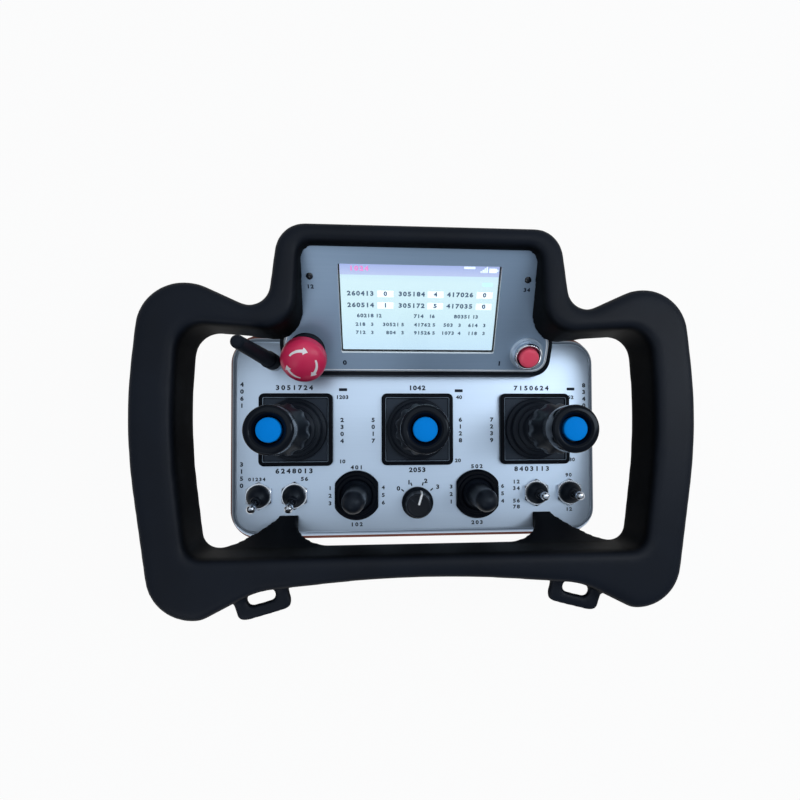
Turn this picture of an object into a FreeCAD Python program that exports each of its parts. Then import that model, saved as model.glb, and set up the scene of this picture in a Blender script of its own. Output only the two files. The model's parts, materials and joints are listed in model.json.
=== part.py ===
import FreeCAD, Part
import os
import Sketcher

Vector = FreeCAD.Vector
Rotation = FreeCAD.Rotation

# Joystick radio remote control: a control box with a tilted display, carried in a yoke frame.
# The operator stands at -Y and looks along +Y; Z = 0 is the surface that the feet rest on.
# Most pieces are drawn about the panel point: the middle of the joystick row, on the panel's upper face.

doc = FreeCAD.newDocument("joystick_remote")
sheet = doc.addObject("Spreadsheet::Sheet", "sizes")

sizes = {
    # joystick row, in front of the middle of the whole object
    "row_offset": 3.83,
    # box under the panel
    "foot_height": 3.0, "foot_radius": 7.0, "foot_inset": 17.0,
    "housing_height": 43.0, "housing_inset": 2.0, "housing_wall": 3.0, "housing_edge": 4.0,
    "column_radius": 5.5, "column_inset": 11.5, "counterbore_height": 24.0,
    "gasket_thick": 1.5, "gasket_reach": 3.4,
    "fit": 0.05, "slack": 0.3,
    # how far a cutting shape runs past the face that it opens
    "over": 1.0,
    # battery and its cover
    "battery_length": 108.0, "battery_width": 27.0, "battery_height": 22.0, "battery_y": 36.1,
    "cover_lip": 4.5, "cover_thick": 1.5, "cover_play": 0.3, "cover_screw_inset": 2.2,
    # electronics
    "board_length": 200.0, "board_width": 60.0, "board_thick": 1.6, "board_y": -28.0, "board_rise": 6.0,
    "post_radius": 3.5, "post_inset": 6.0,
    "radio_length": 38.0, "radio_width": 26.0, "radio_height": 5.0, "radio_x": -74.0,
    "plug_length": 16.0, "plug_width": 6.0, "plug_height": 7.0,
    # panel
    "panel_width": 242.4, "panel_depth": 130.5, "panel_shift": -4.75, "panel_height": 12.5,
    "panel_sheet": 2.5, "panel_corner": 16.0, "panel_roll": 4.0, "boss_radius": 4.5,
    "thread_floor": 0.5,
    "cable_length": 160.0, "cable_width": 13.0, "cable_y": 47.0,
    # screws
    "screw_radius": 2.0, "screw_head": 3.8, "screw_head_height": 3.0, "screw_length": 22.0,
    "frame_screw_length": 11.0, "cover_screw_radius": 1.2, "cover_screw_head": 2.7,
    "cover_head_height": 1.4,
    "cover_screw_length": 4.0,
    # joysticks
    "stick_pitch": 79.1, "stick_reach": 83.2, "pivot_depth": 9.0,
    "bezel_side": 47.3, "bezel_height": 4.5, "bezel_corner": 3.5, "bezel_rim": 3.0, "bezel_recess": 1.5,
    "bezel_bore": 17.0, "bezel_edge": 0.8, "stick_hole": 18.0,
    "boot_foot": 20.3, "boot_step": 3.0, "boot_wall": 1.3, "boot_height": 24.5, "boot_neck": 8.5,
    "boot_rise": 4.1, "boot_slant": 1.6, "boot_tread": 3.3, "boot_cone": 4.9,
    "stem_radius": 4.0, "stem_tail": 13.0, "stem_top": 66.0,
    "grip_gap": 1.0, "grip_foot": 9.5, "skirt_stand": 12.5, "skirt_radius": 15.2, "skirt_height": 7.0,
    "skirt_slope": 9.0, "waist_radius": 10.6,
    "flange_radius": 12.8,
    "flange_height": 14.0, "flange_edge": 1.4, "shoulder_slope": 5.0, "grip_land": 1.0,
    "flute_radius": 4.2, "flute_bite": 1.3, "flute_count": 12,
    "button_radius": 6.8, "button_height": 7.0, "button_sink": 1.2, "button_travel": 1.5,
    "button_edge": 0.7,
    "block_side": 42.0, "block_depth": 33.0, "block_wall": 3.0,
    "ring_outer": 25.0, "ring_inner": 18.0, "ring_height": 8.0, "pin_radius": 2.0, "hub_side": 14.0,
    # finger joysticks
    "thumb_x": 40.0, "thumb_y": -43.2, "thumb_pivot": 2.0, "thumb_flange": 16.2, "thumb_flats": 28.2,
    "thumb_flange_height": 4.5, "thumb_flange_wall": 2.5, "thumb_slope": 1.4, "thumb_step": 3.6,
    "thumb_lip": 0.6, "thumb_clear": 0.4, "thumb_hole": 13.2, "thumb_dome": 11.5, "thumb_shell": 1.5,
    "thumb_rim": 10.0,
    "thumb_foot": 7.4, "thumb_tip": 7.0, "thumb_reach": 42.0, "thumb_stem": 2.6, "thumb_tail": 5.0,
    "cup_wall": 2.0, "cup_depth": 16.0, "cup_floor": 2.0,
    "thumb_ring": 6.6, "thumb_ring_bore": 4.6, "thumb_ring_height": 5.0, "thumb_pin": 1.2,
    "fork_gap": 0.5, "fork_thick": 2.2, "fork_width": 4.0, "fork_cap": 0.7,
    # toggle switches
    "toggle_near": 80.1, "toggle_far": 102.8, "toggle_y": -42.9, "toggle_lean": 15.0,
    "bushing_radius": 6.0, "bushing_bore": 3.6, "bushing_top": 3.5, "nut_flats": 16.0, "nut_height": 3.0,
    "switch_side": 13.0, "switch_depth": 20.0, "toggle_pivot": 1.0, "bat_root": 1.6, "bat_tip": 2.7,
    "bat_length": 21.0, "bat_straight": 12.0, "bat_hub": 2.8, "bat_pin": 0.9,
    "toggle_dome": 7.3, "dome_wall": 1.0, "dome_neck": 3.6, "dome_lip": 2.5, "dome_reach": 11.5,
    # rotary selector
    "selector_y": -48.6, "selector_turn": 16.4, "knob_skirt": 10.4, "knob_skirt_height": 3.0,
    "knob_foot": 8.3, "knob_top": 7.5, "knob_height": 16.0, "knob_edge": 0.8, "knob_gap": 0.5,
    "knob_bore": 5.2, "knob_bore_height": 7.0, "spindle_radius": 3.0, "selector_bush": 4.5,
    "selector_bush_height": 5.5, "selector_radius": 11.0, "selector_depth": 14.0, "spindle_tail": 6.0,
    "pointer_width": 1.3, "pointer_depth": 0.8, "pointer_root": 0.6,
    "knob_flutes": 12, "knob_flute": 1.2, "knob_flute_bite": 0.3,
    # tilted display, set out from the lower edge of its plate
    "display_tilt": 30.9, "plate_foot_y": 36.9, "plate_foot_z": 12.3, "plate_height": 79.6,
    "plate_top_half": 76.5, "plate_flare": 7.0, "plate_half": "=plate_top_half + plate_flare",
    "plate_turn_low": 20.0, "plate_turn_high": 44.0, "plate_turn_curve": 14.0,
    "plate_thick": 2.5, "plate_corner": 9.0, "plate_edge": 1.2,
    "window_width": 96.5, "window_height": 55.2, "window_low": 13.1, "window_corner": 1.0,
    "glass_margin": 3.0, "glass_thick": 1.6, "lcd_thick": 3.0, "lcd_margin": 4.5, "lcd_top": 2.4,
    "lcd_low": 7.0,
    "driver_thick": 1.6, "driver_inset": 4.0, "rim": 2.3, "rim_drop": 0.5, "shell_wall": 2.5,
    "shell_ledge": 4.0,
    "shell_back_low": 34.0, "shell_heel_y": 58.0, "shell_heel": 3.75, "shell_corner": 9.0,
    "lens_inset": 12.0, "lens_x": "=plate_top_half - lens_inset", "lens_up": 60.8, "lens_radius": 2.0,
    "lens_length": 4.5, "lens_stand": 0.8,
    # emergency stop and start button, set out on the plate
    "button_inset": 14.1, "estop_x": "=button_inset - plate_half", "estop_up": 14.9,
    "barrel_radius": 7.9, "barrel_wall": 2.7, "barrel_depth": 9.5,
    "estop_collar": 11.2, "estop_collar_height": 7.0, "estop_collar_wall": 4.2, "estop_collar_edge": 1.2,
    "barrel_stand": 1.0, "estop_block": 15.0, "estop_block_depth": 8.0,
    "estop_travel": 4.0, "head_radius": 13.5, "head_low": 12.0, "head_rim": 4.6, "head_dome": 8.2,
    "head_socket": 4.0, "stem_tail_estop": 5.0, "head_under": 1.6, "head_lip": 2.2, "head_edge": 0.9,
    "start_x": "=plate_half - button_inset", "start_up": 13.4, "ring_radius": 9.0, "start_ring_height": 5.0,
    "start_ring_edge": 1.2,
    "cap_radius": 6.3, "cap_top": 9.5, "cap_tail": 2.0, "cap_travel": 2.5, "cap_edge": 0.9,
    # stub antenna
    "antenna_x": -93.4, "antenna_y": 43.8, "socket_radius": 5.5, "socket_height": 6.0,
    "socket_thread": 3.2,
    "socket_tail": 9.0, "socket_nut": 5.0, "socket_nut_height": 2.5,
    "whip_foot": 6.0, "whip_tip": 3.6, "whip_top": 88.0, "whip_sleeve": 14.0, "whip_step": 0.6,
    "whip_edge": 1.5,
    # yoke frame: heights above the panel, then the outline in plan
    "frame_back": 25.5, "frame_front": 62.0, "frame_edge": 4.6,
    "hood_top": 114.2, "hood_top_half": 79.5, "hood_corner": 17.0,
    "neck_half": 85.8, "neck_y": 63.5, "neck_curve": 11.0,
    "shoulder_half": 151.0, "shoulder_y": 93.2, "shoulder_curve": 26.0,
    "grip_half": 160.2, "grip_y": 3.0, "grip_curve": 300.0,
    "heel_half": 145.0, "heel_y": -103.2, "heel_curve": 26.0,
    "toe_half": 119.0, "toe_y": -102.3, "toe_curve": 10.0,
    "bar_half": 90.0, "bar_y": -87.5, "bar_curve": 40.0, "bar_middle": -79.8, "bar_bow": 600.0,
    "hood_inner_half": 68.2, "hood_inner_top": 106.6, "hood_inner_corner": 7.0, "hood_lip": 3.1,
    "neck_inner_half": 70.4, "neck_inner_y": 53.8, "neck_inner_curve": 18.0,
    "hand_top_half": 131.5, "hand_top": 58.2, "hand_curve": 14.0,
    "hand_half": 136.0, "hand_bow": 360.0, "hand_low_half": 127.0, "hand_low": -69.2, "hand_low_curve": 9.0,
    "hood_spread": 100.0, "hood_foot_spread": 88.0, "hood_foot": 12.0, "hood_front_y": 48.0,
    "wedge_width": 208.0,
    "strut_near": 77.5, "strut_far": 89.5, "strut_front": -55.5, "strut_rear": -66.0, "strut_rise": 37.0,
    "strut_waist": 24.0, "strut_waist_near": 69.0, "strut_waist_far": 106.0, "strut_waist_front": -64.9,
    "strut_waist_rear": -77.7,
    "strut_top_near": 48.0, "strut_top_far": 122.0, "strut_top_front": -70.0, "strut_top_rear": -84.0,
    "strut_screw_x": 83.5, "strut_screw_y": -61.0, "strut_screw_length": 7.0,
    "lug_x": 90.0, "lug_y": -93.4, "lug_turn": 15.0, "lug_length": 31.0, "lug_low": 10.5, "lug_high": 12.0,
    "lug_back": 44.5, "lug_thick": 5.0, "lug_corner": 4.5, "lug_edge": 1.2,
    "slot_length": 16.0, "slot_width": 6.6, "slot_corner": 2.6,
}
for line, (alias, number) in enumerate(sizes.items(), 1):
    sheet.set("A%d" % line, alias)
    sheet.set("B%d" % line, str(number))
    sheet.setAlias("B%d" % line, alias)
doc.recompute()


def expand(text):
    # a word that names a size stands for its cell
    words = []
    word = ""
    for letter in text + " ":
        if letter.isalnum() or letter == "_":
            word += letter
            continue
        words.append("sizes." + word if word in sizes else word)
        words.append(letter)
        word = ""
    return "".join(words).strip()


def value(text):
    return float(sheet.evalExpression(expand(text)))


def bind(piece, prop, text):
    piece.setExpression(prop, expand(text))


panelTop = "(foot_height + housing_height + gasket_thick + panel_height)"
housingFloor = "(foot_height + housing_wall)"
housingTop = "(foot_height + housing_height)"

facing = {"Z": Rotation(), "X": Rotation(Vector(0, 1, 0), 90), "Y": Rotation(Vector(1, 0, 0), -90)}


def move(piece, x="0", y="0", z="0"):
    bind(piece, "Placement.Base.x", x)
    bind(piece, "Placement.Base.y", y)
    bind(piece, "Placement.Base.z", z)
    return piece


def seat(piece, x="0", y="0", z=panelTop):
    # from the drawing about the panel point to its place in the object
    return move(piece, x, "(%s) - row_offset" % y, z)


def lean(piece, across="0", up="0"):
    # onto the face of the display plate
    piece.Placement = FreeCAD.Placement(Vector(), Rotation(Vector(1, 0, 0), value("display_tilt")))
    bind(piece, "Placement.Rotation.Angle", "display_tilt")
    y = "plate_foot_y + (%s) * cos(display_tilt)" % up
    z = "%s + plate_foot_z + (%s) * sin(display_tilt)" % (panelTop, up)
    return seat(piece, across, y, z)


def box(name, length, width, height, x="0", y="0", z="0"):
    piece = doc.addObject("Part::Box", name)
    bind(piece, "Length", length)
    bind(piece, "Width", width)
    bind(piece, "Height", height)
    return move(piece, "(%s) - (%s) / 2" % (x, length), "(%s) - (%s) / 2" % (y, width), z)


def rod(name, radius, height, x="0", y="0", z="0", along="Z"):
    piece = doc.addObject("Part::Cylinder", name)
    piece.Placement = FreeCAD.Placement(Vector(), facing[along])
    bind(piece, "Radius", radius)
    bind(piece, "Height", height)
    return move(piece, x, y, z)


def cone(name, low, high, height, z="0"):
    piece = doc.addObject("Part::Cone", name)
    bind(piece, "Radius1", low)
    bind(piece, "Radius2", high)
    bind(piece, "Height", height)
    return move(piece, "0", "0", z)


def ball(name, radius, z="0"):
    piece = doc.addObject("Part::Sphere", name)
    bind(piece, "Radius", radius)
    return move(piece, "0", "0", z)


def fuse(name, *pieces):
    piece = doc.addObject("Part::MultiFuse", name)
    piece.Shapes = list(pieces)
    piece.Refine = True
    return piece


def cut(name, base, *tools):
    piece = doc.addObject("Part::Cut", name)
    piece.Base = base
    piece.Tool = tools[0] if len(tools) == 1 else fuse(name + "_tools", *tools)
    piece.Refine = True
    return piece


def common(name, first, second):
    piece = doc.addObject("Part::Common", name)
    piece.Base = first
    piece.Tool = second
    piece.Refine = True
    return piece


def group(name, pieces):
    piece = doc.addObject("Part::Compound", name)
    piece.Links = pieces
    return piece


def drawing(body, role, points, height="0"):
    # closed outline of straight edges, each corner held by its two distances from the origin
    sketch = body.newObject("Sketcher::SketchObject", body.Name + "_outline")
    plane = [part for part in body.Origin.OriginFeatures if part.Role == role][0]
    sketch.AttachmentSupport = [(plane, "")]
    sketch.MapMode = "FlatFace"
    bind(sketch, "AttachmentOffset.Base.z", height)
    trace(sketch, points)
    return sketch


def trace(sketch, points):
    first = sketch.GeometryCount
    corners = [Vector(value(x), value(y), 0) for x, y in points]
    for number, corner in enumerate(corners):
        sketch.addGeometry(Part.LineSegment(corner, corners[(number + 1) % len(corners)]), False)
    for number in range(len(corners)):
        following = first + (number + 1) % len(corners)
        sketch.addConstraint(Sketcher.Constraint("Coincident", first + number, 2, following, 1))
    for number, point in enumerate(points):
        for kind, text in zip(("DistanceX", "DistanceY"), point):
            held = Sketcher.Constraint(kind, -1, 1, first + number, 1, value(text))
            index = sketch.addConstraint(held)
            bind(sketch, "Constraints[%d]" % index, text)


def pad(body, sketch, length, both=False):
    feature = body.newObject("PartDesign::Pad", body.Name + "_pad")
    feature.Profile = sketch
    bind(feature, "Length", length)
    if both:
        feature.SideType = "Symmetric"
    doc.recompute()
    return feature


def soften(body, edges, radius):
    feature = body.newObject("PartDesign::Fillet", body.Name + "_round")
    feature.Base = (body.Tip if body.Tip != feature else feature.BaseFeature, edges)
    bind(feature, "Radius", radius)
    doc.recompute()
    return feature


def uprights(feature, places=None):
    # names of the upright straight edges, all of them or those that stand at the given places
    names = []
    for number, edge in enumerate(feature.Shape.Edges, 1):
        ends = [vertex.Point for vertex in edge.Vertexes]
        if len(ends) < 2 or edge.Curve.TypeId != "Part::GeomLine":
            continue
        if abs(ends[0].x - ends[1].x) + abs(ends[0].y - ends[1].y) > 1e-6:
            continue
        spots = places or [(ends[0].x, ends[0].y)]
        if any(abs(ends[0].x - x) + abs(ends[0].y - y) < 1e-3 for x, y in spots):
            names.append("Edge%d" % number)
    return names


def rims(feature, height):
    # names of the edges that lie level at one height
    names = []
    for number, edge in enumerate(feature.Shape.Edges, 1):
        bounds = edge.BoundBox
        if abs(bounds.ZMin - height) < 1e-4 and abs(bounds.ZMax - height) < 1e-4:
            names.append("Edge%d" % number)
    return names


def slab(name, length, width, height, corner, x="0", y="0", z="0"):
    # block with rounded upright corners
    body = doc.addObject("PartDesign::Body", name)
    left = "(%s) - (%s) / 2" % (x, length)
    right = "(%s) + (%s) / 2" % (x, length)
    near = "(%s) - (%s) / 2" % (y, width)
    far = "(%s) + (%s) / 2" % (y, width)
    sketch = drawing(body, "XY_Plane", [(left, near), (right, near), (right, far), (left, far)], z)
    feature = pad(body, sketch, height)
    soften(body, uprights(feature), corner)
    return body


def turned(name, profile):
    # solid of revolution about the upright axis, from pairs of radius and height
    body = doc.addObject("PartDesign::Body", name)
    sketch = drawing(body, "XZ_Plane", profile)
    feature = body.newObject("PartDesign::Revolution", name + "_turn")
    feature.Profile = sketch
    feature.ReferenceAxis = (sketch, ["V_Axis"])
    feature.Angle = 360
    doc.recompute()
    return body


def fluted(body, count, radius, offset, low, high):
    # round-bottomed flutes cut along the upright axis, evenly spread
    sketch = body.newObject("Sketcher::SketchObject", body.Name + "_flute_circle")
    plane = [part for part in body.Origin.OriginFeatures if part.Role == "XY_Plane"][0]
    sketch.AttachmentSupport = [(plane, "")]
    sketch.MapMode = "FlatFace"
    bind(sketch, "AttachmentOffset.Base.z", low)
    sketch.addGeometry(Part.Circle(Vector(value(offset), 0, 0), Vector(0, 0, 1), value(radius)), False)
    across = sketch.addConstraint(Sketcher.Constraint("DistanceX", -1, 1, 0, 3, value(offset)))
    bind(sketch, "Constraints[%d]" % across, offset)
    sketch.addConstraint(Sketcher.Constraint("PointOnObject", 0, 3, -1))
    size = sketch.addConstraint(Sketcher.Constraint("Radius", 0, value(radius)))
    bind(sketch, "Constraints[%d]" % size, radius)
    pocket = body.newObject("PartDesign::Pocket", body.Name + "_flute")
    pocket.Profile = sketch
    pocket.Reversed = True
    bind(pocket, "Length", "(%s) - (%s)" % (high, low))
    doc.recompute()
    axis = [part for part in body.Origin.OriginFeatures if part.Role == "Z_Axis"][0]
    pattern = body.newObject("PartDesign::PolarPattern", body.Name + "_flutes")
    pattern.Originals = [pocket]
    pattern.Axis = (axis, [""])
    pattern.Angle = 360
    bind(pattern, "Occurrences", count)
    body.Tip = pattern
    doc.recompute()
    return body


nodes = {}


def node(name, piece):
    piece.Label = name
    nodes[name] = piece
    return piece


# Box under the panel: feet, housing with screw columns and board posts, battery and cover
housingLength = "panel_width - 2 * housing_inset"
housingWidth = "panel_depth - 2 * housing_inset"
columnX = "(panel_width / 2 - column_inset)"
columnNear = "(panel_shift - panel_depth / 2 + column_inset)"
columnFar = "(panel_shift + panel_depth / 2 - column_inset)"
columns = [(side + columnX, y) for side in ("", "-") for y in (columnNear, columnFar)]
openLength = "(battery_length + 2 * cover_play + 2 * cover_lip)"
openWidth = "(battery_width + 2 * cover_play + 2 * cover_lip)"
postX = "(board_length / 2 - post_inset)"
posts = [(side + postX, "board_y + (%s)" % y) for side in ("", "-")
         for y in ("board_width / 2 - post_inset", "post_inset - board_width / 2")]

shell = slab("housing_block", housingLength, housingWidth, "housing_height",
             "panel_corner - housing_inset", "0", "panel_shift", "foot_height")
soften(shell, rims(shell.Tip, value("foot_height")), "housing_edge")
hollow = slab("housing_hollow", housingLength + " - 2 * housing_wall",
              housingWidth + " - 2 * housing_wall",
              "housing_height", "panel_corner - housing_inset - housing_wall", "0", "panel_shift",
              housingFloor)
stands = []
for x, y in columns:
    stands.append(rod("column", "column_radius", housingTop + " - foot_height - housing_wall / 2", x, y,
                      "foot_height + housing_wall / 2"))
for x, y in posts:
    stands.append(rod("post", "post_radius", "board_rise + housing_wall / 2", x, y,
                      "foot_height + housing_wall / 2"))
drills = []
for x, y in columns:
    drills.append(rod("shank_hole", "screw_radius + fit", "housing_height + 2 * over", x, y,
                      "foot_height - over"))
    drills.append(rod("head_hole", "screw_head + slack", "counterbore_height + over", x, y,
                      "foot_height - over"))
drills.append(box("battery_mouth", "battery_length + 2 * cover_play", "battery_width + 2 * cover_play",
                  "housing_wall + 2 * over", "0", "battery_y", "foot_height - over"))
drills.append(box("cover_seat", openLength, openWidth, "cover_thick + over", "0", "battery_y",
                  "foot_height - over"))
coverScrewX = "(battery_length / 2 + cover_play + cover_screw_inset)"
for side in ("", "-"):
    drills.append(rod("cover_drill", "cover_screw_radius + fit", "housing_wall + 2 * over",
                      side + coverScrewX,
                      "battery_y", "foot_height - over"))
housing = fuse("housing_walls", cut("housing_shell", shell, hollow), *stands)
lowerHousing = node("lower_housing", cut("lower_housing", housing, *drills))

cover = box("cover_plate", openLength + " - 2 * cover_play", openWidth + " - 2 * cover_play",
            "cover_thick",
            "0", "battery_y", "foot_height")
holes = [rod("cover_hole", "cover_screw_radius + fit", "cover_thick + 2 * over", side + coverScrewX,
             "battery_y",
             "foot_height - over") for side in ("", "-")]
node("battery_cover", cut("battery_cover", cover, *holes))
node("battery_pack", box("battery_pack", "battery_length", "battery_width", "battery_height", "0",
                         "battery_y - row_offset", "foot_height + cover_thick"))
screws = []
for side in ("", "-"):
    shank = rod("cover_shank", "cover_screw_radius", "cover_screw_length + cover_head_height / 2",
                side + coverScrewX, "battery_y", "foot_height - cover_head_height / 2")
    head = rod("cover_head", "cover_screw_head", "cover_head_height", side + coverScrewX, "battery_y",
               "foot_height - cover_head_height")
    screws.append(fuse("cover_screw", shank, head))
node("cover_screws", group("cover_screws", screws))
feet = []
for sideX in ("", "-"):
    for y in ("panel_shift - panel_depth / 2 + foot_inset", "panel_shift + panel_depth / 2 - foot_inset"):
        feet.append(cone("foot", "foot_radius - foot_height / 3", "foot_radius", "foot_height"))
        move(feet[-1], sideX + "(panel_width / 2 - 2 * foot_inset)", y, "0")
node("rubber_feet", group("rubber_feet", feet))

# Main board with its plugs, radio module beside them
boardLow = "(%s + board_rise)" % housingFloor
boardTop = "(%s + board_thick)" % boardLow
boards = [box("board_sheet", "board_length", "board_width", "board_thick", "0", "board_y", boardLow)]
for x in ("-stick_pitch / 2", "0", "stick_pitch / 2", "stick_pitch"):
    boards.append(box("plug", "plug_length", "plug_width", "plug_height + board_thick / 2", x,
                      "board_y + board_width / 2 - plug_width", boardLow + " + board_thick / 2"))
node("main_board", fuse("main_board", *boards))
node("radio_module", box("radio_module", "radio_length", "radio_width", "radio_height", "radio_x",
                         "board_y - row_offset", boardTop))

# Seal between the housing and the panel
sealOuter = slab("seal_outer", "panel_width + 2 * gasket_reach", "panel_depth + 2 * gasket_reach",
                 "gasket_thick",
                 "panel_corner + gasket_reach", "0", "panel_shift", housingTop)
sealInner = slab("seal_inner", housingLength + " - 2 * housing_wall",
                 housingWidth + " - 2 * housing_wall",
                 "gasket_thick", "panel_corner - housing_inset - housing_wall", "0", "panel_shift",
                 housingTop)
sealHoles = [rod("seal_hole", "boss_radius + slack", "gasket_thick", x, y, housingTop) for x,
             y in columns]
gasket = node("panel_gasket", cut("panel_gasket", sealOuter, sealInner, *sealHoles))

# Panel: a pressed tray with rolled edges, control cut-outs and four threaded bosses
tray = slab("panel_block", "panel_width", "panel_depth", "panel_height", "panel_corner", "0",
            "panel_shift",
            "-panel_height")
soften(tray, rims(tray.Tip, 0), "panel_roll")
trough = slab("panel_trough", "panel_width - 2 * panel_sheet", "panel_depth - 2 * panel_sheet",
              "panel_height - panel_sheet", "panel_corner - panel_sheet", "0", "panel_shift",
              "-panel_height")
soften(trough, rims(trough.Tip, value("-panel_sheet")), "panel_roll - panel_sheet / 2")
bossLength = "(panel_height - panel_sheet / 2 + gasket_thick)"
bosses = [rod("boss", "boss_radius", bossLength, x, y, "-panel_height - gasket_thick") for x,
          y in columns]
panelBlank = fuse("panel_blank", cut("panel_tray", tray, trough), *bosses)
through = "(panel_sheet + 2 * over)"
under = "-panel_sheet - over"
stickPlaces = {"left": "-stick_pitch", "centre": "0", "right": "stick_pitch"}
thumbPlaces = {"left": "-thumb_x", "right": "thumb_x"}
togglePlaces = {"1": "-toggle_far", "2": "-toggle_near", "3": "toggle_near", "4": "toggle_far"}
toggleRest = {"1": "toggle_lean", "2": "toggle_lean", "3": "0", "4": "0"}
openings = [rod("stick_cutout", "stick_hole", through, x, "0", under) for x in stickPlaces.values()]
openings += [rod("thumb_cutout", "thumb_hole", through, x, "thumb_y",
                 under) for x in thumbPlaces.values()]
openings += [rod("toggle_cutout", "bushing_radius + fit", through, x, "toggle_y", under)
             for x in togglePlaces.values()]
openings.append(rod("selector_cutout", "selector_bush + fit", through, "0", "selector_y", under))
openings.append(rod("antenna_cutout", "socket_thread + fit", through, "antenna_x", "antenna_y", under))
openings.append(box("cable_cutout", "cable_length", "cable_width", through, "0", "cable_y", under))
openings += [rod("strut_cutout", "screw_radius + fit", through, side + "strut_screw_x", "strut_screw_y",
                 under)
             for side in ("", "-")]
threadLength = "(panel_height + gasket_thick - panel_sheet - thread_floor)"
openings += [rod("boss_thread", "screw_radius + fit", threadLength + " + over", x, y,
                 "-panel_height - gasket_thick - over") for x, y in columns]
node("control_panel", seat(cut("control_panel", panelBlank, *openings)))
for piece in (lowerHousing, gasket, nodes["battery_cover"], nodes["cover_screws"], nodes["rubber_feet"],
              nodes["main_board"]):
    bind(piece, "Placement.Base.y", "-row_offset")

screws = []
for x, y in columns:
    seatHeight = "foot_height + counterbore_height"
    shank = rod("housing_shank", "screw_radius", "screw_length + screw_head_height / 2", x, y,
                seatHeight + " - screw_head_height / 2")
    head = rod("housing_head", "screw_head", "screw_head_height", x, y,
               seatHeight + " - screw_head_height")
    screws.append(fuse("housing_screw", shank, head))
screws = group("housing_screws", screws)
bind(screws, "Placement.Base.y", "-row_offset")
node("housing_screws", screws)

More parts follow.
